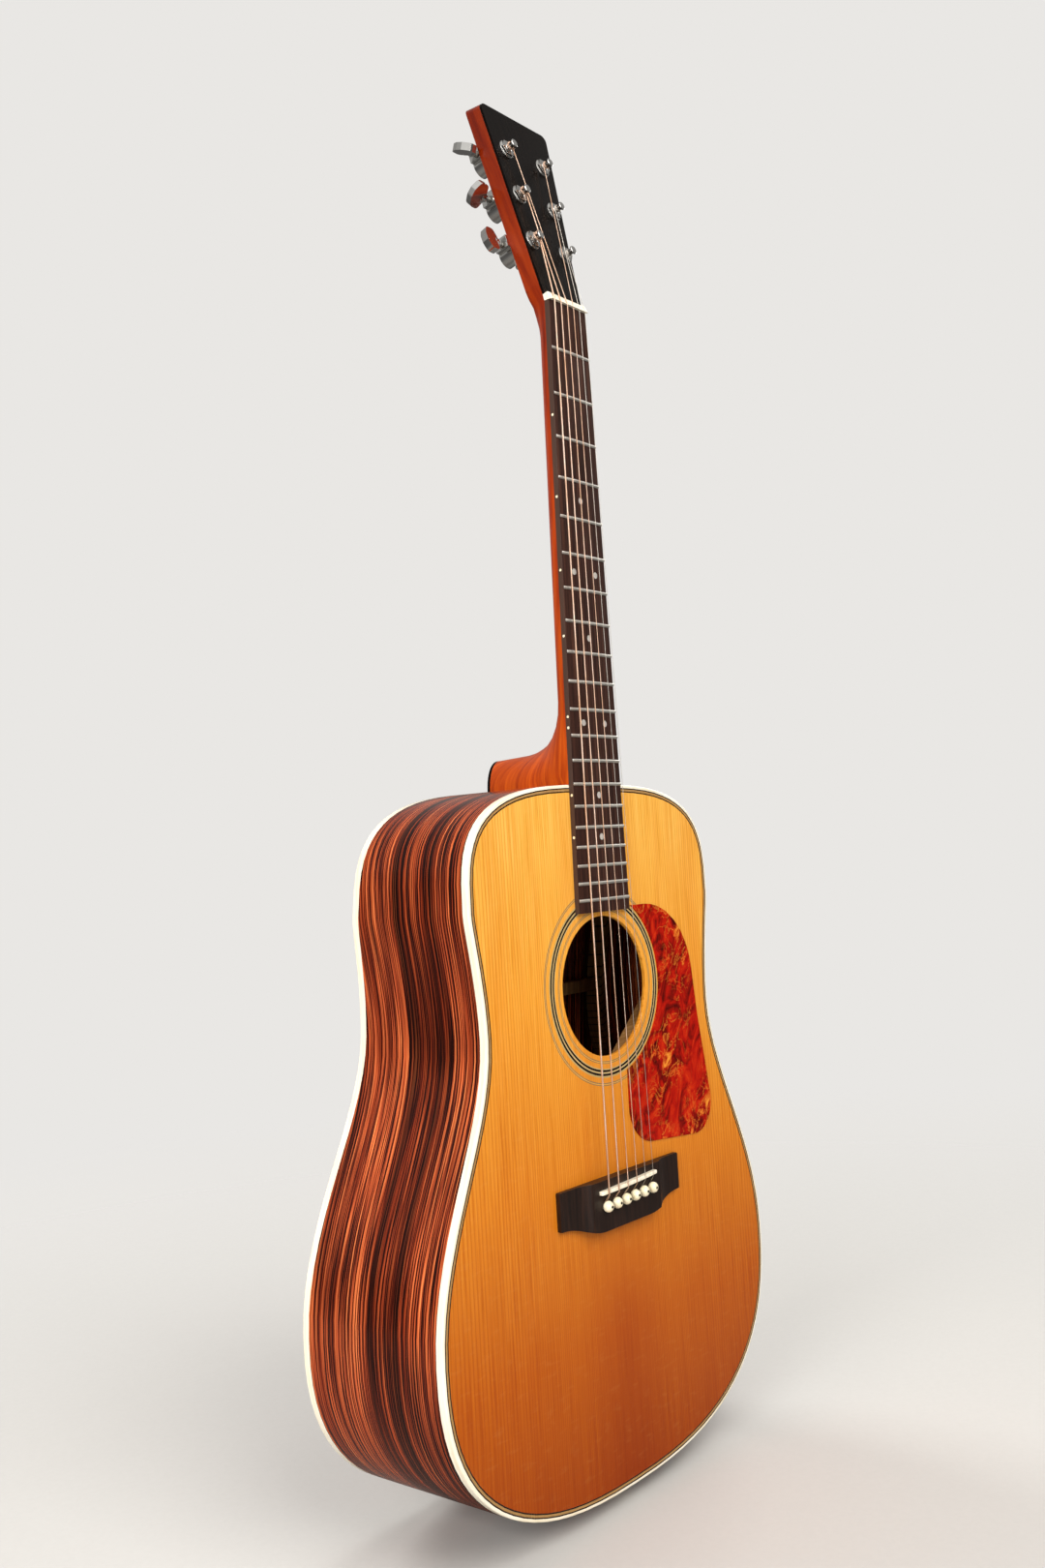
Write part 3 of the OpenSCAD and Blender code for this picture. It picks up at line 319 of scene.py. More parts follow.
def rosewood_back(tree, place):
    """Two book-matched halves, which mirror each other about the middle."""
    x, y, z = tree.parts(place)
    return rosewood(tree, tree.join(tree.math("ABSOLUTE", x), 0.0, z), place)


def plank(name, lines, stretch, wander, stops, roughness, pores=0.4, relief=0.1, coat=0.0, shine=0.35,
          edge=None, ends=None):
    """A plain wood with its length along Z, from dark to light stops.

    It may have a colour for its edges, and painted shade that darkens it from the neck joint up to the
    end of the head.
    """
    def recipe(tree, place):
        wood = grain(tree, place, lines, stretch, wander)
        tone = tree.ramp(wood["Figure"], [(0.3, "#b09a88"), (0.7, "#ffffff")])
        colour = tree.blend(0.7, tree.ramp(wood["Lines"], stops), tone, "MULTIPLY")
        colour = tree.blend(tree.range(wood["Pores"], 0.58, 0.74, 0.0, pores), colour, stops[0][1])
        # Painted shade: darker from the neck joint up to the end of the head, by the stops in ends
        if ends:
            height = tree.range(tree.parts(place)[2], JOINT_Z, cad_box[1][2])
            colour = tree.blend(1.0, colour, tree.ramp(height, ends), "MULTIPLY")
        if edge:
            facing = tree.parts(tree.add("ShaderNodeNewGeometry").outputs["True Normal"])[0]
            sideways = tree.range(tree.math("ABSOLUTE", facing), 0.6, 0.9, 0.0, 0.75)
            colour = tree.blend(sideways, colour, edge)
        gloss = polish(tree, place, roughness, 0.12)
        return {"Base Color": colour, "Roughness": gloss["Roughness"],
                "Normal": tree.bump(wood["Pores"], relief, 0.0003)}
    return material(name, recipe, Coat_Weight=coat, Coat_Roughness=0.12, Specular_IOR_Level=shine)


# Saw cuts in the linings, and the share of each step that a cut takes
KERFS_PER_RADIAN = 25.0
KERF_SHARE = 0.12


def kerfed_lining(tree, place):
    """A lining strip sawn through at even steps, so that it bends round the rim."""
    x, y, z = tree.parts(place)
    turn = tree.math("ARCTAN2", x, tree.math("SUBTRACT", z, BODY_MIDDLE_Z))
    step = tree.math("FRACT", tree.math("MULTIPLY", turn, KERFS_PER_RADIAN))
    wood = grain(tree, tree.join(y, x, z), 500.0, 30.0, 0.004)
    colour = tree.ramp(wood["Lines"], [(0.3, "#80592f"), (0.5, "#9c7442"), (0.75, "#b08b58")])
    kerf = tree.math("LESS_THAN", step, KERF_SHARE)
    # Painted shade in each saw cut, a dark stripe for the slot
    colour = tree.blend(tree.math("MULTIPLY", kerf, 0.8), colour, "#4a3018")
    return {"Base Color": colour, "Roughness": polish(tree, place, 0.6, 0.12)["Roughness"],
            "Normal": tree.bump(tree.math("SUBTRACT", 1.0, kerf), 0.4, 0.0005)}


# The strip down the back: its blocks, and half the width between its black lines
BLOCKS_PER_METRE = 320.0
BLOCKS_HALF_WIDTH = 2.1 * MM


def strip_inlay(tree, place):
    """A let-in strip of slanted light and dark wood between two black lines."""
    x, y, z = tree.parts(place)
    side = tree.math("ABSOLUTE", x)
    slant = tree.math("ADD", tree.math("MULTIPLY", z, BLOCKS_PER_METRE),
                      tree.math("MULTIPLY", side, BLOCKS_PER_METRE))
    step = tree.math("FRACT", slant)
    blocks = tree.ramp(step, [(0.0, "#d8ab66"), (0.36, "#7d3d1c"), (0.68, "#2a140d")], "CONSTANT")
    edge = tree.math("GREATER_THAN", side, BLOCKS_HALF_WIDTH)
    colour = tree.blend(edge, blocks, "#17100c")
    wood = grain(tree, place, 900.0, 20.0, 0.002)
    lines = tree.ramp(wood["Lines"], [(0.3, "#a08878"), (0.7, "#ffffff")])
    colour = tree.blend(0.4, colour, lines, "MULTIPLY")
    return {"Base Color": colour, "Roughness": polish(tree, place, 0.18, 0.1)["Roughness"]}


# Inlays, plastics, bone and shell

# The rosette: its inner and outer radius, then each ring's inner radius in millimetres and its colour
ROSETTE_REACH = (54 * MM, 73 * MM)
ROSETTE_RINGS = [(54.0, "#8a7350"), (55.15, "#dba14a"), (55.85, "#8a7350"),
                 (59.0, "#c2ac78"), (60.7, "#160d08"), (62.2, "#a98f5e"), (62.5, "#bda674"),
                 (63.2, "#a98f5e"), (63.5, "#160d08"), (65.0, "#b9a068"),
                 (69.5, "#8a7350"), (70.75, "#dba14a"), (71.4, "#8a7350")]


def ring_lines(tree, place):
    """Black, cream and olive rings around the sound hole, by their radius."""
    x, y, z = tree.parts(place)
    radius = tree.reach(x, tree.math("SUBTRACT", z, HOLE_Z))
    inner, outer = ROSETTE_REACH
    stops = [((r * MM - inner) / (outer - inner), code) for r, code in ROSETTE_RINGS]
    colour = tree.ramp(tree.range(radius, inner, outer), stops, "CONSTANT")
    age_and_painted_shade = tree.noise(tree.scaled(place, (90, 90, 90)), 1.0, 3.0)
    colour = tree.blend(tree.range(age_and_painted_shade, 0.35, 0.75, 0.0, 0.3), colour, "#d9bd86", "MULTIPLY")
    return {"Base Color": colour, "Roughness": polish(tree, place, 0.26, 0.1)["Roughness"]}


def purfling_lines(tree, place):
    """Thin black and tan lines, by how far a point lies in from the binding."""
    inset = tree.add("ShaderNodeAttribute", {"attribute_name": "inset"}).outputs["Fac"]
    stops = [(0.0, "#2a160b"), (0.27, "#a98450"), (0.72, "#22110a")]
    colour = tree.ramp(inset, stops, "CONSTANT")
    age_and_painted_shade = tree.noise(tree.scaled(place, (200, 200, 200)), 1.0, 3.0)
    colour = tree.blend(tree.range(age_and_painted_shade, 0.3, 0.8, 0.0, 0.35), colour, "#b98a5a", "MULTIPLY")
    return {"Base Color": colour, "Roughness": polish(tree, place, 0.26, 0.1)["Roughness"]}


def ivory_binding(tree, place):
    """Cream sheet with the faint drawn lines of real ivory."""
    x, y, z = tree.parts(place)
    lines = tree.noise(tree.join(tree.math("MULTIPLY", y, 900.0), tree.math("MULTIPLY", x, 30.0),
                                 tree.math("MULTIPLY", z, 30.0)), 1.0, 2.0)
    broad = tree.noise(tree.scaled(place, (11, 11, 11)), 1.0, 3.0)
    colour = tree.ramp(lines, [(0.3, "#ece1c6"), (0.5, "#f3ebd8"), (0.75, "#f9f4e8")])
    colour = tree.blend(tree.range(broad, 0.4, 0.8, 0.0, 0.4), colour, "#f6e6c4", "MULTIPLY")
    gloss = polish(tree, place, 0.24, 0.1)
    return {"Base Color": colour, "Roughness": gloss["Roughness"]}


def bone(tree, place):
    fibre = tree.noise(tree.scaled(place, (700, 700, 120)), 1.0, 3.0)
    broad = tree.noise(tree.scaled(place, (60, 60, 60)), 1.0, 2.0)
    colour = tree.ramp(fibre, [(0.3, "#e9dfc6"), (0.55, "#f3ebd8"), (0.8, "#faf5e8")])
    colour = tree.blend(tree.range(broad, 0.4, 0.8, 0.0, 0.25), colour, "#f0ddb4", "MULTIPLY")
    return {"Base Color": colour, "Roughness": polish(tree, place, 0.32, 0.12)["Roughness"],
            "Normal": tree.bump(fibre, 0.03, 0.0002)}


def cream_plastic(tree, place):
    cloud = tree.noise(tree.scaled(place, (130, 130, 130)), 1.0, 3.0)
    colour = tree.ramp(cloud, [(0.3, "#e3d5ae"), (0.7, "#f2e8cd")])
    return {"Base Color": colour, "Roughness": polish(tree, place, 0.22, 0.1)["Roughness"]}


def shell(tree, place):
    """Shell with soft pink and green clouds."""
    cloud = tree.noise(tree.scaled(place, (420, 420, 420)), 1.0, 3.0, 0.6, 0.8)
    colour = tree.ramp(cloud, [(0.3, "#959c97"), (0.45, "#bdb9b0"), (0.58, "#b3a9a6"),
                               (0.75, "#cfccc4")])
    return {"Base Color": colour, "Roughness": polish(tree, place, 0.2, 0.1)["Roughness"]}


def black_dot(tree, place):
    cloud = tree.noise(tree.scaled(place, (300, 300, 300)), 1.0, 2.0)
    return {"Base Color": tree.ramp(cloud, [(0.3, "#0d0b0a"), (0.7, "#1d1916")]),
            "Roughness": polish(tree, place, 0.22, 0.1)["Roughness"]}


def tortoise(tree, place):
    """Red sheet marbled with dark clouds, bright wisps and a few amber veins."""
    flat = tree.scaled(place, (1, 0, 1), (0, math.radians(-24), 0))
    cloud = tree.noise(tree.scaled(flat, (62, 1, 34)), 1.0, 6.0, 0.62, 1.9)
    swirl = tree.noise(tree.scaled(flat, (48, 1, 27), (0, 0, 0), (3, 0, 7)), 1.0, 4.0, 0.6, 2.4)
    patch = tree.noise(tree.scaled(flat, (26, 1, 17), (0, 0, 0), (11, 0, 2)), 1.0, 2.0)
    colour = tree.ramp(cloud, [(0.3, "#300301"), (0.43, "#740902"), (0.54, "#a61204"),
                               (0.65, "#bd2809"), (0.78, "#d04c18")])
    ridge = tree.math("ABSOLUTE", tree.math("SUBTRACT", swirl, 0.5))
    vein = tree.math("MULTIPLY", tree.range(ridge, 0.004, 0.024, 1.0, 0.0),
                     tree.range(patch, 0.42, 0.56))
    colour = tree.blend(tree.math("MULTIPLY", vein, 0.55), colour, "#e2802c")
    amber = tree.math("MULTIPLY", tree.range(patch, 0.62, 0.68), tree.range(cloud, 0.5, 0.6))
    colour = tree.blend(tree.math("MULTIPLY", amber, 0.8), colour, "#ea9a34")
    return {"Base Color": colour, "Roughness": polish(tree, place, 0.16, 0.08)["Roughness"]}


# Metals

def plating(low, high, roughness, spread):
    """Plated metal, a little duller where hands and cloths have been."""
    def recipe(tree, place):
        film = tree.noise(tree.scaled(place, (55, 55, 55)), 1.0, 4.0, 0.6)
        gloss = polish(tree, tree.scaled(place, (4, 4, 4)), roughness, spread)
        colour = tree.ramp(film, [(0.3, low), (0.7, high)])
        return {"Base Color": colour, "Roughness": gloss["Roughness"],
                "Normal": tree.bump(gloss["Marks"], 0.03, 0.0001)}
    return recipe


WINDING_PITCH = 0.42 * MM


def wound_wire(tree, place):
    """Bronze wire wound round a core, by the length along the string."""
    along = tree.add("ShaderNodeAttribute", {"attribute_name": "along"}).outputs["Fac"]
    turn = tree.math("SINE", tree.math("MULTIPLY", along, 2 * math.pi / WINDING_PITCH))
    film = tree.noise(tree.scaled(place, (90, 90, 30)), 1.0, 3.0)
    colour = tree.ramp(film, [(0.3, "#e4b898"), (0.5, "#f1d0b8"), (0.75, "#fbe6d8")])
    # Painted shade in the grooves between the turns of the winding
    colour = tree.blend(tree.range(turn, -1.0, -0.3, 0.45, 0.0), colour, "#96603e")
    return {"Base Color": colour, "Roughness": polish(tree, place, 0.5, 0.12)["Roughness"],
            "Normal": tree.bump(turn, 0.3, 0.00012)}


# The finishes

SPRUCE = material("lacquered_spruce", spruce_top, Coat_Weight=0.1, Coat_Roughness=0.14,
                  Specular_IOR_Level=0.2)
ROSEWOOD_SIDE = material("lacquered_rosewood_sides", rosewood_side, Coat_Weight=0.2,
                         Coat_Roughness=0.13, Specular_IOR_Level=0.2)
ROSEWOOD_BACK = material("lacquered_rosewood_back", rosewood_back, Coat_Weight=0.2,
                         Coat_Roughness=0.13, Specular_IOR_Level=0.2)
# Mahogany with painted shade that darkens it towards the end of the head
MAHOGANY = plank("lacquered_mahogany", 420.0, 30.0, 0.008,
                 [(0.28, "#8a2a06"), (0.45, "#b4440a"), (0.62, "#cf5a10"), (0.8, "#de6e1e")], 0.3,
                 coat=0.1, shine=0.25, ends=[(0.0, "#ffffff"), (0.45, "#e0bcae"), (1.0, "#a27868")])
EBONY = plank("polished_ebony", 380.0, 18.0, 0.01,
              [(0.3, "#070403"), (0.55, "#0c0705"), (0.8, "#170e0a")], 0.24, 0.3, 0.08, shine=0.08)
BRIDGE_WOOD = plank("oiled_bridge_wood", 420.0, 18.0, 0.01,
                    [(0.3, "#140b08"), (0.55, "#26160f"), (0.8, "#3a2318")], 0.42, 0.5, 0.15)
FINGERBOARD = plank("oiled_fingerboard", 560.0, 60.0, 0.004,
                    [(0.3, "#180b07"), (0.5, "#38201a"), (0.72, "#5a382a")], 0.44, 0.6, 0.25,
                    shine=0.22, edge="#4a3830")
# Brace spruce, darker than fresh spruce: aged wood, with painted shade for the inside of the body
BRACE_WOOD = plank("planed_spruce", 500.0, 40.0, 0.004,
                   [(0.3, "#765028"), (0.5, "#92693c"), (0.75, "#a98250")], 0.6)
KERFED = material("kerfed_lining", kerfed_lining)
BLOCK_WOOD = plank("planed_mahogany", 360.0, 18.0, 0.01,
                   [(0.3, "#6d3c1e"), (0.5, "#9a6237"), (0.75, "#b57f4c")], 0.6)
MARQUETRY = material("let_in_strip", strip_inlay, Coat_Weight=0.35, Coat_Roughness=0.06)
ROSETTE = material("rosette_rings", ring_lines, Coat_Weight=0.25, Coat_Roughness=0.14)
PURFLING = material("purfling_lines", purfling_lines, Coat_Weight=0.25, Coat_Roughness=0.14)
BINDING = material("ivory_binding", ivory_binding, Coat_Weight=0.3, Coat_Roughness=0.1)
BONE = material("polished_bone", bone)
CREAM = material("cream_plastic", cream_plastic)
SHELL = material("shell", shell, Coat_Weight=0.3, Coat_Roughness=0.1)
BLACK_DOT = material("black_dot", black_dot)
TORTOISE = material("tortoise_sheet", tortoise, Coat_Weight=0.05, Coat_Roughness=0.05,
                    Specular_IOR_Level=0.14)
NICKEL = material("nickel_wire", plating("#dcd8d0", "#f2efe8", 0.5, 0.14), Metallic=1.0)
CHROME = material("chrome_plate", plating("#c9c8c6", "#e2e1de", 0.09, 0.1), Metallic=1.0)
STEEL = material("drawn_steel", plating("#a9a69f", "#c9c6be", 0.24, 0.12), Metallic=1.0)
PLAIN_WIRE = material("plain_wire", plating("#c8c0b6", "#e4dcd2", 0.45, 0.12), Metallic=1.0)
BRONZE = material("wound_bronze", wound_wire, Metallic=1.0)


# Dressing the solids

# How close two points count as one, and how far two faces may lean and still count as one
WELD = 2e-6
FLAT = math.radians(0.4)


def merged_copy(node):
    """A bmesh of a CAD node with its loose triangles joined into plain faces."""
    shape = bmesh.new()
    shape.from_mesh(frame["nodes"][node].data)
    bmesh.ops.remove_doubles(shape, verts=shape.verts, dist=WELD)
    bmesh.ops.dissolve_limit(shape, angle_limit=FLAT, verts=shape.verts, edges=shape.edges)
    return shape


def ease(shape, edges, width, segments=2):
    bmesh.ops.bevel(shape, geom=list(edges), offset=width, affect="EDGES", segments=segments,
                    profile=0.5, material=-1, clamp_overlap=True)


def sharp_edges(shape, least=40):
    """Edges where two faces turn by more than some degrees."""
    return [e for e in shape.edges if e.is_manifold and e.calc_face_angle(0) > math.radians(least)]


def make_piece(name, shape, finish, body, smooth=35):
    """A piece made from a bmesh, under its finish, that rides on a body."""
    mesh = bpy.data.meshes.new(name)
    shape.to_mesh(mesh)
    shape.free()
    mesh.shade_smooth()
    mesh.set_sharp_from_angle(angle=math.radians(smooth))
    mesh.materials.append(finish)
    piece = bpy.data.objects.new(name, mesh)
    bpy.context.scene.collection.objects.link(piece)
    even = piece.modifiers.new("even_shading", "WEIGHTED_NORMAL")
    even.keep_sharp = True
    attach(piece, body)
    return piece


def dress(node, finish, width=0.0, segments=2, choose=sharp_edges, smooth=35):
    """A copy of a CAD node, which stands for it, with its hard edges eased by some millimetres."""
    shape = merged_copy(node)
    if width:
        ease(shape, choose(shape), width * MM, segments)
    piece = make_piece(f"{node}_dressed", shape, finish, BODY_OF[node], smooth)
    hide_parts(node)
    return piece


def coat(node, finish):
    """A CAD node that stays as it is, under its finish."""
    materials = frame["nodes"][node].data.materials
    materials.clear()
    materials.append(finish)


# Which edges to ease: how close to the face of the guitar a point counts as in it, then the limits that
# keep an edge of the fingerboard, the nut or the sound hole apart from the others of its piece
IN_FACE = 1e-5
BOARD_FACE_Y = -3.5 * MM
BOARD_EDGE_X = 20 * MM
LONG_RUN = 2 * MM
NUT_END_X = 21 * MM
NUT_FRONT_Y = -2 * MM
HOLE_REACH = 52 * MM


def outer_face_edge(shape):
    """The outer edge of a top binding, where the face of the guitar turns into its side."""
    middle = Vector((0, 0, BODY_MIDDLE_Z))
    chosen = []
    for edge in sharp_edges(shape):
        if max(abs(v.co.y) for v in edge.verts) > IN_FACE:
            continue
        side = next((f.normal for f in edge.link_faces if abs(f.normal.y) < 0.5), None)
        if side is not None and side.dot(edge.verts[0].co - middle) > 0:
            chosen.append(edge)
    return chosen


def long_face_edges(shape):
    """The two long edges of a fingerboard's playing face."""
    return [e for e in sharp_edges(shape)
            if all(v.co.y < BOARD_FACE_Y and abs(v.co.x) > BOARD_EDGE_X for v in e.verts)
            and abs(e.verts[0].co.z - e.verts[1].co.z) > LONG_RUN]


def nut_end_edges(shape):
    """The edges at both ends of a nut, clear of its string slots."""
    return [e for e in sharp_edges(shape)
            if all(abs(v.co.x) > NUT_END_X and v.co.y < NUT_FRONT_Y for v in e.verts)]


def hole_edge(shape):
    """The edge of the sound hole in the face of the soundboard."""
    def at_hole(point):
        return abs(point.y) < IN_FACE and math.hypot(point.x, point.z - HOLE_Z) < HOLE_REACH

    return [e for e in sharp_edges(shape) if all(at_hole(v.co) for v in e.verts)]


dress("soundboard", SPRUCE, 0.5, 3, hole_edge)
dress("rosette", ROSETTE)
dress("top_binding", BINDING, 0.9, 3, outer_face_edge)
dress("back_binding", BINDING)
dress("side_bass", ROSEWOOD_SIDE)
dress("side_treble", ROSEWOOD_SIDE)
dress("back_bass_half", ROSEWOOD_BACK)
dress("back_treble_half", ROSEWOOD_BACK)
dress("back_center_strip", MARQUETRY)
dress("tail_wedge", BINDING)
dress("neck", MAHOGANY)
dress("heel_cap", EBONY, 0.6)
dress("headstock", MAHOGANY, 0.8)
dress("headstock_veneer", EBONY, 0.5)
dress("fingerboard", FINGERBOARD, 0.4, 2, long_face_edges)
dress("frets", NICKEL, 0.25)
markers = dress("position_markers", SHELL)
dress("nut", BONE, 1.2, 4, nut_end_edges)
dress("bridge", BRIDGE_WOOD, 0.5)
dress("saddle", BONE, 0.7, 3)
dress("bridge_pins", CREAM, 0.15, smooth=50)
dress("pickguard", TORTOISE, 0.3)
dress("end_pin", EBONY, 0.4)
dress("tuner_housings", CHROME, 1.2, 3)
dress("tuner_covers", CHROME, 0.3)
dress("tuner_bushings", CHROME, 0.3)
dress("tuner_screws", CHROME, 0.3)
for tuner in range(1, STRING_COUNT + 1):
    dress(f"tuner_{tuner}_button", CHROME, 1.5, 4)
    dress(f"tuner_{tuner}_post", CHROME, 0.15)
    coat(f"tuner_{tuner}_worm", STEEL)

# The dots in the side of the fingerboard lie deeper than the markers in its face, and are cream
SIDE_DOTS_Y = -3.3 * MM
markers.data.materials.append(CREAM)
for face in markers.data.polygons:
    face.material_index = int(face.center.y > SIDE_DOTS_Y)

for inner in ("x_brace_bass", "x_brace_treble", "top_braces", "back_braces"):
    coat(inner, BRACE_WOOD)
for inner in ("top_linings", "back_linings"):
    coat(inner, KERFED)
for inner in ("neck_block", "tail_block", "bridge_plate"):
    coat(inner, BLOCK_WOOD)
for inner in ("truss_rod", "neck_bolts"):
    coat(inner, STEEL)


def face_place(vert):
    """Where a point lies in the face of the guitar, to a hundredth of a millimetre."""
    return round(vert.co.x, 5), round(vert.co.z, 5)


def inlaid_purfling():
    """The purfling ring, whose points keep 0 at the binding and 1 at the inner side."""
    shape = merged_copy("top_purfling")
    binding = merged_copy("top_binding")
    bmesh.ops.triangulate(shape, faces=shape.faces)
    outer = {face_place(vert) for vert in binding.verts}
    binding.free()
    inset = shape.verts.layers.float.new("inset")
    for vert in shape.verts:
        vert[inset] = 0.0 if face_place(vert) in outer else 1.0
    piece = make_piece("top_purfling_dressed", shape, PURFLING, "guitar")
    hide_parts("top_purfling")


inlaid_purfling()


# Strings

# Over the nut, the saddle and the bridge. Behind the saddle a string runs level for a moment, and then
# bends down to its pin.
FRET_TOP = 6 * MM
STRING_ACTION = 0.7 * MM
SADDLE_CROWN = 12.73 * MM
SADDLE_AT = NUT_Z - 646.4 * MM
SADDLE_SLANT = 0.85 * MM
SADDLE_HALF = 1.4 * MM
CROWN_RUN = 0.25 * MM
CROWN_BEND = 0.9 * MM
CROWN_DROP = 0.45 * MM
PINS_AT = NUT_Z - 656.5 * MM
PIN_SLANT = 0.8 * MM
BRIDGE_TOP = 8.4 * MM
PIN_HEAD = 6.2 * MM

# Down the pin's hole: how far in front of the pin, how deep it turns in, and where it ends
STRING_LEAD = 2.15 * MM
STRING_TURN_IN = 0.6 * MM
STRING_END_LEAD = 1.5 * MM
STRING_END_Y = 4 * MM

# On the tuner posts
POST_OFFSET = 19.8 * MM
POST_FLARE = 0.9 * MM
FIRST_POST = 49.8 * MM
POST_PITCH = 38.8 * MM
POST_WAIST = 2.2 * MM
POST_WAIST_UP = 5.4 * MM
WRAP_GAP = 0.4 * MM
WRAP_PITCH = 2.1
WRAP_STEPS = 28
PLAIN_TURNS = 3
WOUND_TURNS = 1.5
STRING_SIDES = 12


def from_head(x, y, z):
    """A point of the head's own frame, whose Y runs into the head and Z up its face."""
    c, s = math.cos(HEAD_PITCH), math.sin(HEAD_PITCH)
    return Vector((x, y * c + z * s, NUT_Z - y * s + z * c))


def string_x(number, spread):
    """How far to the treble side a string lies, where the six spread this wide."""
    return spread / 2 - spread * (number - 1) / (STRING_COUNT - 1)


def pin_height(x):
    """The height of a bridge pin, in a row that slants across the bridge."""
    return PINS_AT + PIN_SLANT * x / (BRIDGE_SPREAD / 2)


def tuner_place(number):
    """The side, and the place on the head's face, of the post that takes a string."""
    side = 1 if number <= STRING_COUNT // 2 else -1
    row = number - 1 if side > 0 else STRING_COUNT - number
    return side, POST_OFFSET + POST_FLARE * row, FIRST_POST + POST_PITCH * row


def string_route(number):
    """Points from the pin hole over the saddle and the nut to the turns on the post."""
    r = STRING_RADII[number - 1]
    low_x, high_x = string_x(number, BRIDGE_SPREAD), string_x(number, NUT_SPREAD)
    saddle_z = SADDLE_AT + SADDLE_SLANT * low_x / (BRIDGE_SPREAD / 2)
    saddle_back = saddle_z - SADDLE_HALF
    pin_z = pin_height(low_x)
    crown_y = -SADDLE_CROWN - r + low_x ** 2 / (2 * BOARD_CAMBER)
    nut_y = -FRET_TOP - STRING_ACTION - r + high_x ** 2 / (2 * BOARD_CAMBER)
    points = [Vector((low_x, STRING_END_Y, pin_z + STRING_LEAD + STRING_END_LEAD)),
              Vector((low_x, -BRIDGE_TOP + STRING_TURN_IN, pin_z + STRING_LEAD)),
              Vector((low_x, crown_y + CROWN_DROP, saddle_back - CROWN_BEND)),
              Vector((low_x, crown_y, saddle_back - CROWN_RUN)),
              Vector((low_x, crown_y, saddle_z)),
              Vector((high_x, nut_y, NUT_Z))]
    side, post_x, post_z = tuner_place(number)
    turns = PLAIN_TURNS if number <= PLAIN_STRINGS else WOUND_TURNS
    wrap_r = POST_WAIST + WRAP_GAP + r
    for step in range(int(turns * WRAP_STEPS) + 1):
        a = 2 * math.pi * step / WRAP_STEPS
        height = POST_WAIST_UP + WRAP_GAP + r * (1 + WRAP_PITCH * a / (2 * math.pi))
        x = side * (post_x - wrap_r * math.cos(a))
        points.append(from_head(x, -height, post_z + wrap_r * math.sin(a)))
    return points


def swept(points, radius, sides):
    """A closed round bar along a route, with the length along it kept at each point."""
    shape = bmesh.new()
    along = shape.verts.layers.float.new("along")
    across = Vector((1, 0, 0))
    length = 0.0
    ring = None
    for i, point in enumerate(points):
        ahead = (points[i + 1] - point).normalized() if i + 1 < len(points) else Vector()
        behind = (point - points[i - 1]).normalized() if i else Vector()
        way = (ahead + behind).normalized()
        across = (across - way * across.dot(way)).normalized()
        turn = Matrix((across, way.cross(across), way)).transposed().to_4x4()
        fresh = bmesh.ops.create_circle(shape, cap_ends=i in (0, len(points) - 1), segments=sides,
                                        radius=radius, matrix=Matrix.Translation(point) @ turn)["verts"]
        length += (point - points[i - 1]).length if i else 0.0
        for vert in fresh:
            vert[along] = length
        touching = {e for v in fresh for e in v.link_edges}
        edges = [e for e in touching if all(v in fresh for v in e.verts)]
        if ring:
            bmesh.ops.bridge_loops(shape, edges=ring + edges)
        ring = edges
    bmesh.ops.recalc_face_normals(shape, faces=shape.faces)
    return shape


for number in range(1, STRING_COUNT + 1):
    plain = number <= PLAIN_STRINGS
    shape = swept(string_route(number), STRING_RADII[number - 1], STRING_SIDES)
    wire = make_piece(f"string_{number}", shape, PLAIN_WIRE if plain else BRONZE, "guitar",
                      60)
    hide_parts("plain_strings" if plain else "wound_strings")


DOT_FOOT = 1.1 * MM
DOT_TOP = 0.95 * MM
DOT_DEPTH = 0.5 * MM
DOT_SUNK = 0.15 * MM
DOT_EASE = 0.12 * MM
DOT_SIDES = 24


def pin_dots():
    """A domed black dot let into the head of each bridge pin."""
    shape = bmesh.new()
    for number in range(1, STRING_COUNT + 1):
        x = string_x(number, BRIDGE_SPREAD)
        top = (Matrix.Translation((x, -BRIDGE_TOP - PIN_HEAD + DOT_SUNK, pin_height(x)))
               @ Matrix.Rotation(math.pi / 2, 4, "X"))
        disc = bmesh.ops.create_cone(shape, cap_ends=True, segments=DOT_SIDES, radius1=DOT_FOOT,
                                     radius2=DOT_TOP, depth=DOT_DEPTH, matrix=top)["verts"]
        rim = [e for e in {e for v in disc for e in v.link_edges} if e.calc_face_angle(0) > 1]
        ease(shape, rim, DOT_EASE)
    make_piece("bridge_pin_dots", shape, BLACK_DOT, "guitar")


pin_dots()


# Studio

ROOM = "#e9e7e4"
FLOOR_Z = cad_box[0][2]
FLOOR_RADIUS = 4.0
FLOOR_FADE = (0.5, 1.7)

# The side of the room that gloss sees as pale, and how near to it the pale begins and is full
PALE_WALL = (-0.62, -0.45, 0.64)
PALE_WALL_FADE = (0.4, 0.65)


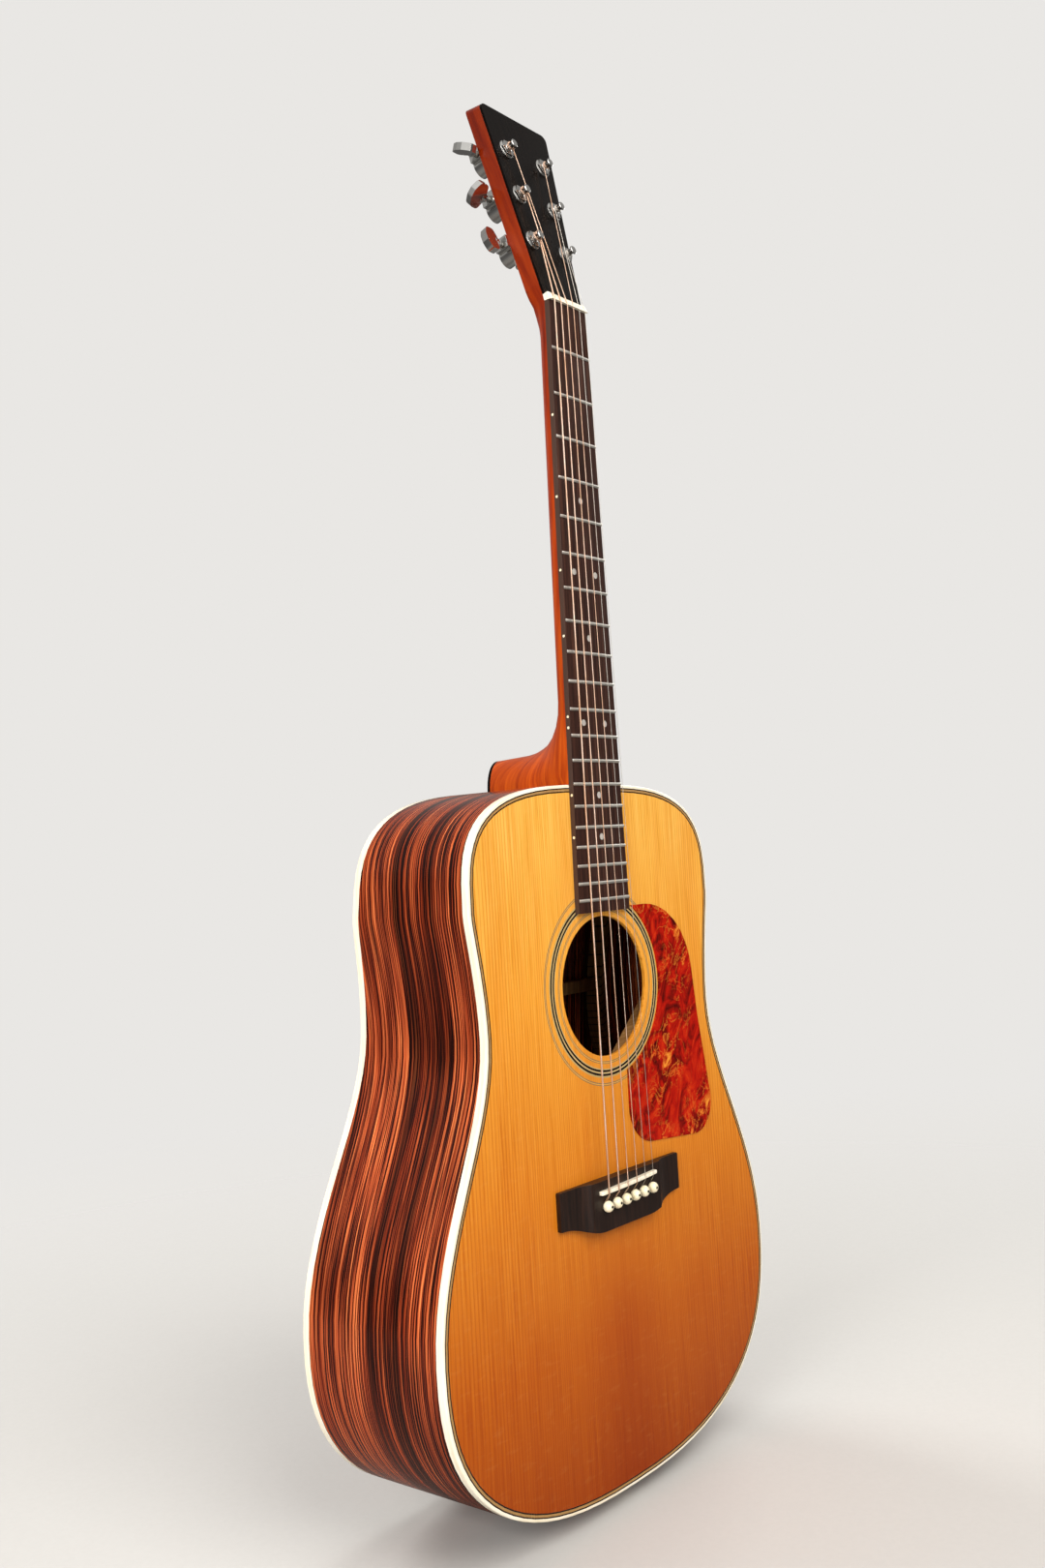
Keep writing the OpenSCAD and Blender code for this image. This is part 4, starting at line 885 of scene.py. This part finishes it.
def studio_floor():
    """A pale floor that fades into the room, and looks darker where gloss mirrors it."""
    shape = bmesh.new()
    bmesh.ops.create_circle(shape, cap_ends=True, segments=96, radius=FLOOR_RADIUS,
                            matrix=Matrix.Translation((0, 0, FLOOR_Z)))
    mesh = bpy.data.meshes.new("studio_floor")
    shape.to_mesh(mesh)
    shape.free()
    floor = bpy.data.objects.new("studio_floor", mesh)
    bpy.context.scene.collection.objects.link(floor)
    made = bpy.data.materials.new("pale_floor")
    made.use_nodes = True
    tree = NodeTree(made.node_tree)
    shader = made.node_tree.nodes["Principled BSDF"]
    shader.inputs["Roughness"].default_value = 0.9
    shader.inputs["Specular IOR Level"].default_value = 0.1
    place = tree.add("ShaderNodeTexCoord").outputs["Object"]
    x, y, z = tree.parts(place)
    away = tree.reach(x, y)
    speck = tree.noise(tree.scaled(place, (260, 260, 260)), 1.0, 2.0)
    glossy = tree.add("ShaderNodeLightPath").outputs["Is Glossy Ray"]
    pale = tree.ramp(speck, [(0.3, "#bfbebc"), (0.7, "#c1c0be")])
    tree.feed(shader.inputs["Base Color"], tree.blend(glossy, pale, "#6c6a67"))
    clear = tree.add("ShaderNodeBsdfTransparent")
    mix = tree.add("ShaderNodeMixShader", Fac=tree.range(away, *FLOOR_FADE))
    tree.feed(mix.inputs[1], shader.outputs[0])
    tree.feed(mix.inputs[2], clear.outputs[0])
    tree.feed(made.node_tree.nodes["Material Output"].inputs["Surface"], mix.outputs[0])
    mesh.materials.append(made)


def soft_box(name, at, towards, width, height, watts, colour, mirrored=True):
    """A soft lamp, which may be kept out of what gloss and metal mirror."""
    lamp = bpy.data.lights.new(name, "AREA")
    lamp.shape = "RECTANGLE"
    lamp.size = width
    lamp.size_y = height
    lamp.energy = watts
    lamp.color = colour
    held = bpy.data.objects.new(name, lamp)
    held.location = at
    held.visible_glossy = mirrored
    held.rotation_euler = (Vector(towards) - Vector(at)).to_track_quat("-Z", "Y").to_euler()
    bpy.context.scene.collection.objects.link(held)


def pale_world():
    """A pale room behind the guitar, of which gloss and metal see a darker version."""
    world = bpy.data.worlds.new("pale_room")
    bpy.context.scene.world = world
    world.use_nodes = True
    tree = NodeTree(world.node_tree)
    rays = tree.add("ShaderNodeLightPath").outputs
    seen = tree.math("MAXIMUM", rays["Is Camera Ray"], rays["Is Transmission Ray"])
    way = tree.add("ShaderNodeTexCoord").outputs["Generated"]
    up = tree.parts(way)[2]
    facing = tree.add("ShaderNodeVectorMath", {"operation": "DOT_PRODUCT"})
    tree.feed(facing.inputs[0], way)
    tree.feed(facing.inputs[1], PALE_WALL)
    mirror = tree.ramp(tree.range(up, -1.0, 1.0),
                       [(0.0, "#8c8a87"), (0.4, "#5c5a58"), (0.54, "#605e5c"), (0.64, "#908e8b"),
                        (0.86, "#a09e9b"), (0.94, "#ceccca"), (1.0, ROOM)])
    mirror = tree.blend(tree.range(facing.outputs["Value"], *PALE_WALL_FADE), mirror, ROOM)
    fill = tree.blend(rays["Is Glossy Ray"], "#979592", mirror)
    colour = tree.blend(seen, fill, ROOM)
    background = world.node_tree.nodes["Background"]
    tree.feed(background.inputs["Color"], colour)


studio_floor()
pale_world()

# The lamps, all turned to one point of the body
AIM = (0, 0.03, -0.45)
soft_box("key", (-0.5, -1.9, 1.2), AIM, 2.0, 2.0, 69, (1.0, 0.97, 0.92))
soft_box("bass_fill", (-2.4, -0.4, 0.2), AIM, 1.4, 1.4, 60, (1.0, 0.97, 0.93), False)
soft_box("treble_fill", (2.3, 0.5, 0.8), AIM, 1.2, 1.6, 32, (1.0, 0.98, 0.95))
soft_box("back_fill", (0.2, 2.4, 0.9), AIM, 1.2, 1.2, 46, (1.0, 0.98, 0.95), False)
soft_box("low_fill", (-0.6, -2.2, -0.4), AIM, 0.6, 0.6, 6, (1.0, 0.97, 0.93))

# The camera, at the photograph's viewing angle
CAMERA_AT = Vector((-0.849676, -0.629775, -0.422634))
CAMERA_TOWARDS = Vector((0.772258, 0.633228, 0.0514))
CAMERA_UP = Vector((-0.000655, -0.078948, 0.996879))
LENS_MM = 33.0
SENSOR_MM = 36.0

lens = bpy.data.cameras.new("camera")
lens.lens = LENS_MM
lens.sensor_width = SENSOR_MM
lens.sensor_fit = "AUTO"
camera = bpy.data.objects.new("camera", lens)
camera_right = CAMERA_TOWARDS.cross(CAMERA_UP).normalized()
camera_axes = Matrix((camera_right, camera_right.cross(CAMERA_TOWARDS).normalized(),
                      -CAMERA_TOWARDS.normalized()))
camera.matrix_world = Matrix.Translation(CAMERA_AT) @ camera_axes.transposed().to_4x4()
bpy.context.scene.collection.objects.link(camera)
bpy.context.scene.camera = camera
bpy.context.scene.view_settings.view_transform = "Standard"
